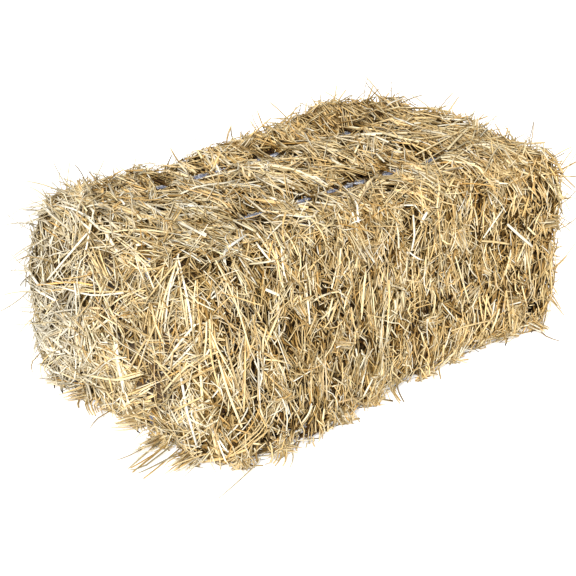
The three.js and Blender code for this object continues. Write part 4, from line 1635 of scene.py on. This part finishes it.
def seen_on_skin(pixel):
    """Where the camera sees the bale at a pixel, and how the bale faces there, or None beside it."""
    place, direction = sight(pixel)
    hit, _, _, _ = SKIN.ray_cast(Vector(place), Vector(direction))
    if hit is None:
        return None, None
    _, normal = on_skin(np.array([hit]))
    return np.array(hit), normal[0]


def on_sight_near(pixel, point):
    """The place on a pixel's line of sight that is nearest to a point, but never under the floor."""
    place, direction = sight(pixel)
    away = (point - place) @ direction
    to_floor = (CLEAR_LOWEST - place[2]) / direction[2]
    return place + direction * min(away, to_floor)


def is_on(node, place):
    """Whether a place along the bale is on a flake."""
    names = list(FLAKES)
    return node == next((name for name in names if place[0] < FLAKES[name]["high"]), names[-1])


def lay_by_pixels(pixels, lift):
    """The points of a stem that is seen at the pixels, lying on the bale or standing out from it."""
    points, normals = [], []
    for pixel in pixels:
        hit, normal = seen_on_skin(pixel)
        if hit is None and not points:
            return None, None
        if hit is None:
            points.append(on_sight_near(pixel, points[-1]))
            normals.append(normals[-1])
        else:
            points.append(hit + normal * lift)
            normals.append(normal)
    return np.array(points), np.array(normals)


def section_of_one(rng, line, normal, width, flatness, tilt):
    """The half widths of one stem along a line."""
    heading = unit(line[-1] - line[0])
    return cross_section(rng, heading[None], normal[None], np.array([width]), np.array([flatness]), tilt)


def add_one(straw, line, section, colour, sides, taper):
    """One stem along a line, all of one colour."""
    straw.add_tubes(line[None], *section, np.tile(colour, (1, len(line), 1)), sides, np.array([taper]))


def add_combed_stem(straw, rng, middle, aside, tone):
    """One stem of a combed bundle, some pixels aside from the bundle's middle line."""
    across = unit((middle[-1] - middle[0])[::-1] * [1, -1])
    first, last = rng.uniform(*COMBED_START), rng.uniform(*COMBED_END)
    at = np.linspace(first, last, COMBED_STEPS) * (COMBED_POINTS - 1)
    line = np.stack([np.interp(at, np.arange(COMBED_POINTS), middle[:, i]) for i in range(2)], axis=-1)
    askew = rng.normal(0, COMBED_ASKEW) * np.linspace(-0.5, 0.5, COMBED_STEPS)[:, None]
    points, normals = lay_by_pixels(line + across * (aside + askew), rng.uniform(*COMBED_HEIGHT))
    if points is None:
        return
    width, flatness = rng.uniform(*COMBED_WIDTH), rng.uniform(*COMBED_FLATNESS)
    section = section_of_one(rng, points, normals[0], width, flatness, COMBED_TILT)
    rgb = TONES[tone if rng.random() < COMBED_OWN_TONE else rng.choice(list(TONES))]["rgb"]
    colour = linear(rgb) * np.exp(rng.normal(*COMBED_BRIGHTNESS))
    colour = colour / max(1, colour.max() / BRIGHTEST)
    inside = keep_inside(points[None], points[:1])[0]
    add_one(straw, inside, section, colour, COMBED_SIDES, COMBED_TAPER)


def combed_stems(straw, rng, node):
    """The combed bundles of a flake that the photograph shows."""
    for pixels, count, gap, tone in COMBED_STEMS:
        root, _ = seen_on_skin(pixels[0])
        if root is None or not is_on(node, root):
            continue
        middle = smooth_line(pixels, COMBED_POINTS)
        for number in range(count):
            aside = (number - (count - 1) / 2 + rng.normal(0, COMBED_JITTER)) * gap
            add_combed_stem(straw, rng, middle, aside, tone)


def single_stems(straw, rng, node):
    """The stems of a flake that the photograph shows one by one."""
    for pixels, width, tone in SINGLE_STEMS:
        points, normals = lay_by_pixels(pixels, SINGLE_HEIGHT)
        if not is_on(node, points[0]):
            continue
        line = smooth_line(points, SINGLE_POINTS)
        section = section_of_one(rng, line, normals[0], width, SINGLE_FLATNESS, SINGLE_TILT)
        colour = linear(TONES[tone]["rgb"]) * rng.uniform(*SINGLE_BRIGHTNESS)
        add_one(straw, line, section, np.minimum(colour, SINGLE_LIGHTEST), SINGLE_SIDES, SINGLE_TAPER)


def clear_stems(straw, rng, node):
    """The stems of a flake that stand clear of the bale in the photograph."""
    for pixels, width in CLEAR_STEMS:
        root, normal = seen_on_skin(pixels[0])
        if root is None or not is_on(node, root):
            continue
        points = [root - normal * CLEAR_ROOT, root]
        points += [on_sight_near(pixel, root + normal * CLEAR_HEIGHT) for pixel in pixels[1:]]
        line = keep_inside(smooth_line(points, CLEAR_POINTS)[None], root[None])[0]
        section = section_of_one(rng, line, normal, width, CLEAR_FLATNESS, CLEAR_TILT)
        tone = PALETTE[pick_tones(rng, np.array([root[0] + 0.5]))[0]]
        add_one(straw, line, section, tone * CLEAR_BRIGHTNESS, CLEAR_SIDES, CLEAR_TAPER)


def plain_material(name, colour, roughness):
    material, _, shader = new_material(name)
    shader.inputs["Base Color"].default_value = (*colour, 1)
    shader.inputs["Roughness"].default_value = roughness
    return material


def make_floor():
    """A plain white studio floor."""
    corners = [(x * FLOOR_HALF, y * FLOOR_HALF, 0) for x, y in ((-1, -1), (1, -1), (1, 1), (-1, 1))]
    mesh = bpy.data.meshes.new("floor")
    mesh.from_pydata(corners, [], [(0, 1, 2, 3)])
    paint = plain_material("floor paint", FLOOR_PAINT, FLOOR_ROUGHNESS)
    shader = paint.node_tree.nodes["Principled BSDF"]
    shader.inputs["Emission Color"].default_value = (1, 1, 1, 1)
    shader.inputs["Emission Strength"].default_value = FLOOR_GLOW
    mesh.materials.append(paint)
    floor = bpy.data.objects.new("floor", mesh)
    bpy.context.scene.collection.objects.link(floor)


def make_camera():
    """The photograph's viewpoint."""
    place, aim = camera_place()
    data = bpy.data.cameras.new("camera")
    data.lens = LENS
    data.sensor_width = SENSOR
    data.clip_end = CLIP_END
    camera = bpy.data.objects.new("camera", data)
    camera.location = place
    camera.rotation_euler = Vector(aim - place).to_track_quat("-Z", "Y").to_euler()
    bpy.context.scene.collection.objects.link(camera)
    bpy.context.scene.camera = camera


def make_light():
    """Soft daylight from all round, and a soft key light from the left of the picture."""
    world = bpy.data.worlds.new("studio")
    world.use_nodes = True
    background = world.node_tree.nodes["Background"]
    background.inputs["Color"].default_value = (1, 1, 1, 1)
    background.inputs["Strength"].default_value = SKY_POWER
    bpy.context.scene.world = world
    data = bpy.data.lights.new("key", "SUN")
    data.angle = KEY_SPREAD
    data.energy = KEY_POWER
    lamp = bpy.data.objects.new("key", data)
    lamp.rotation_euler = Vector(KEY_DIRECTION).to_track_quat("Z", "Y").to_euler()
    bpy.context.scene.collection.objects.link(lamp)
    bpy.context.scene.view_settings.view_transform = "Standard"


make_camera()
make_light()
make_floor()
make_flakes()
make_twines()
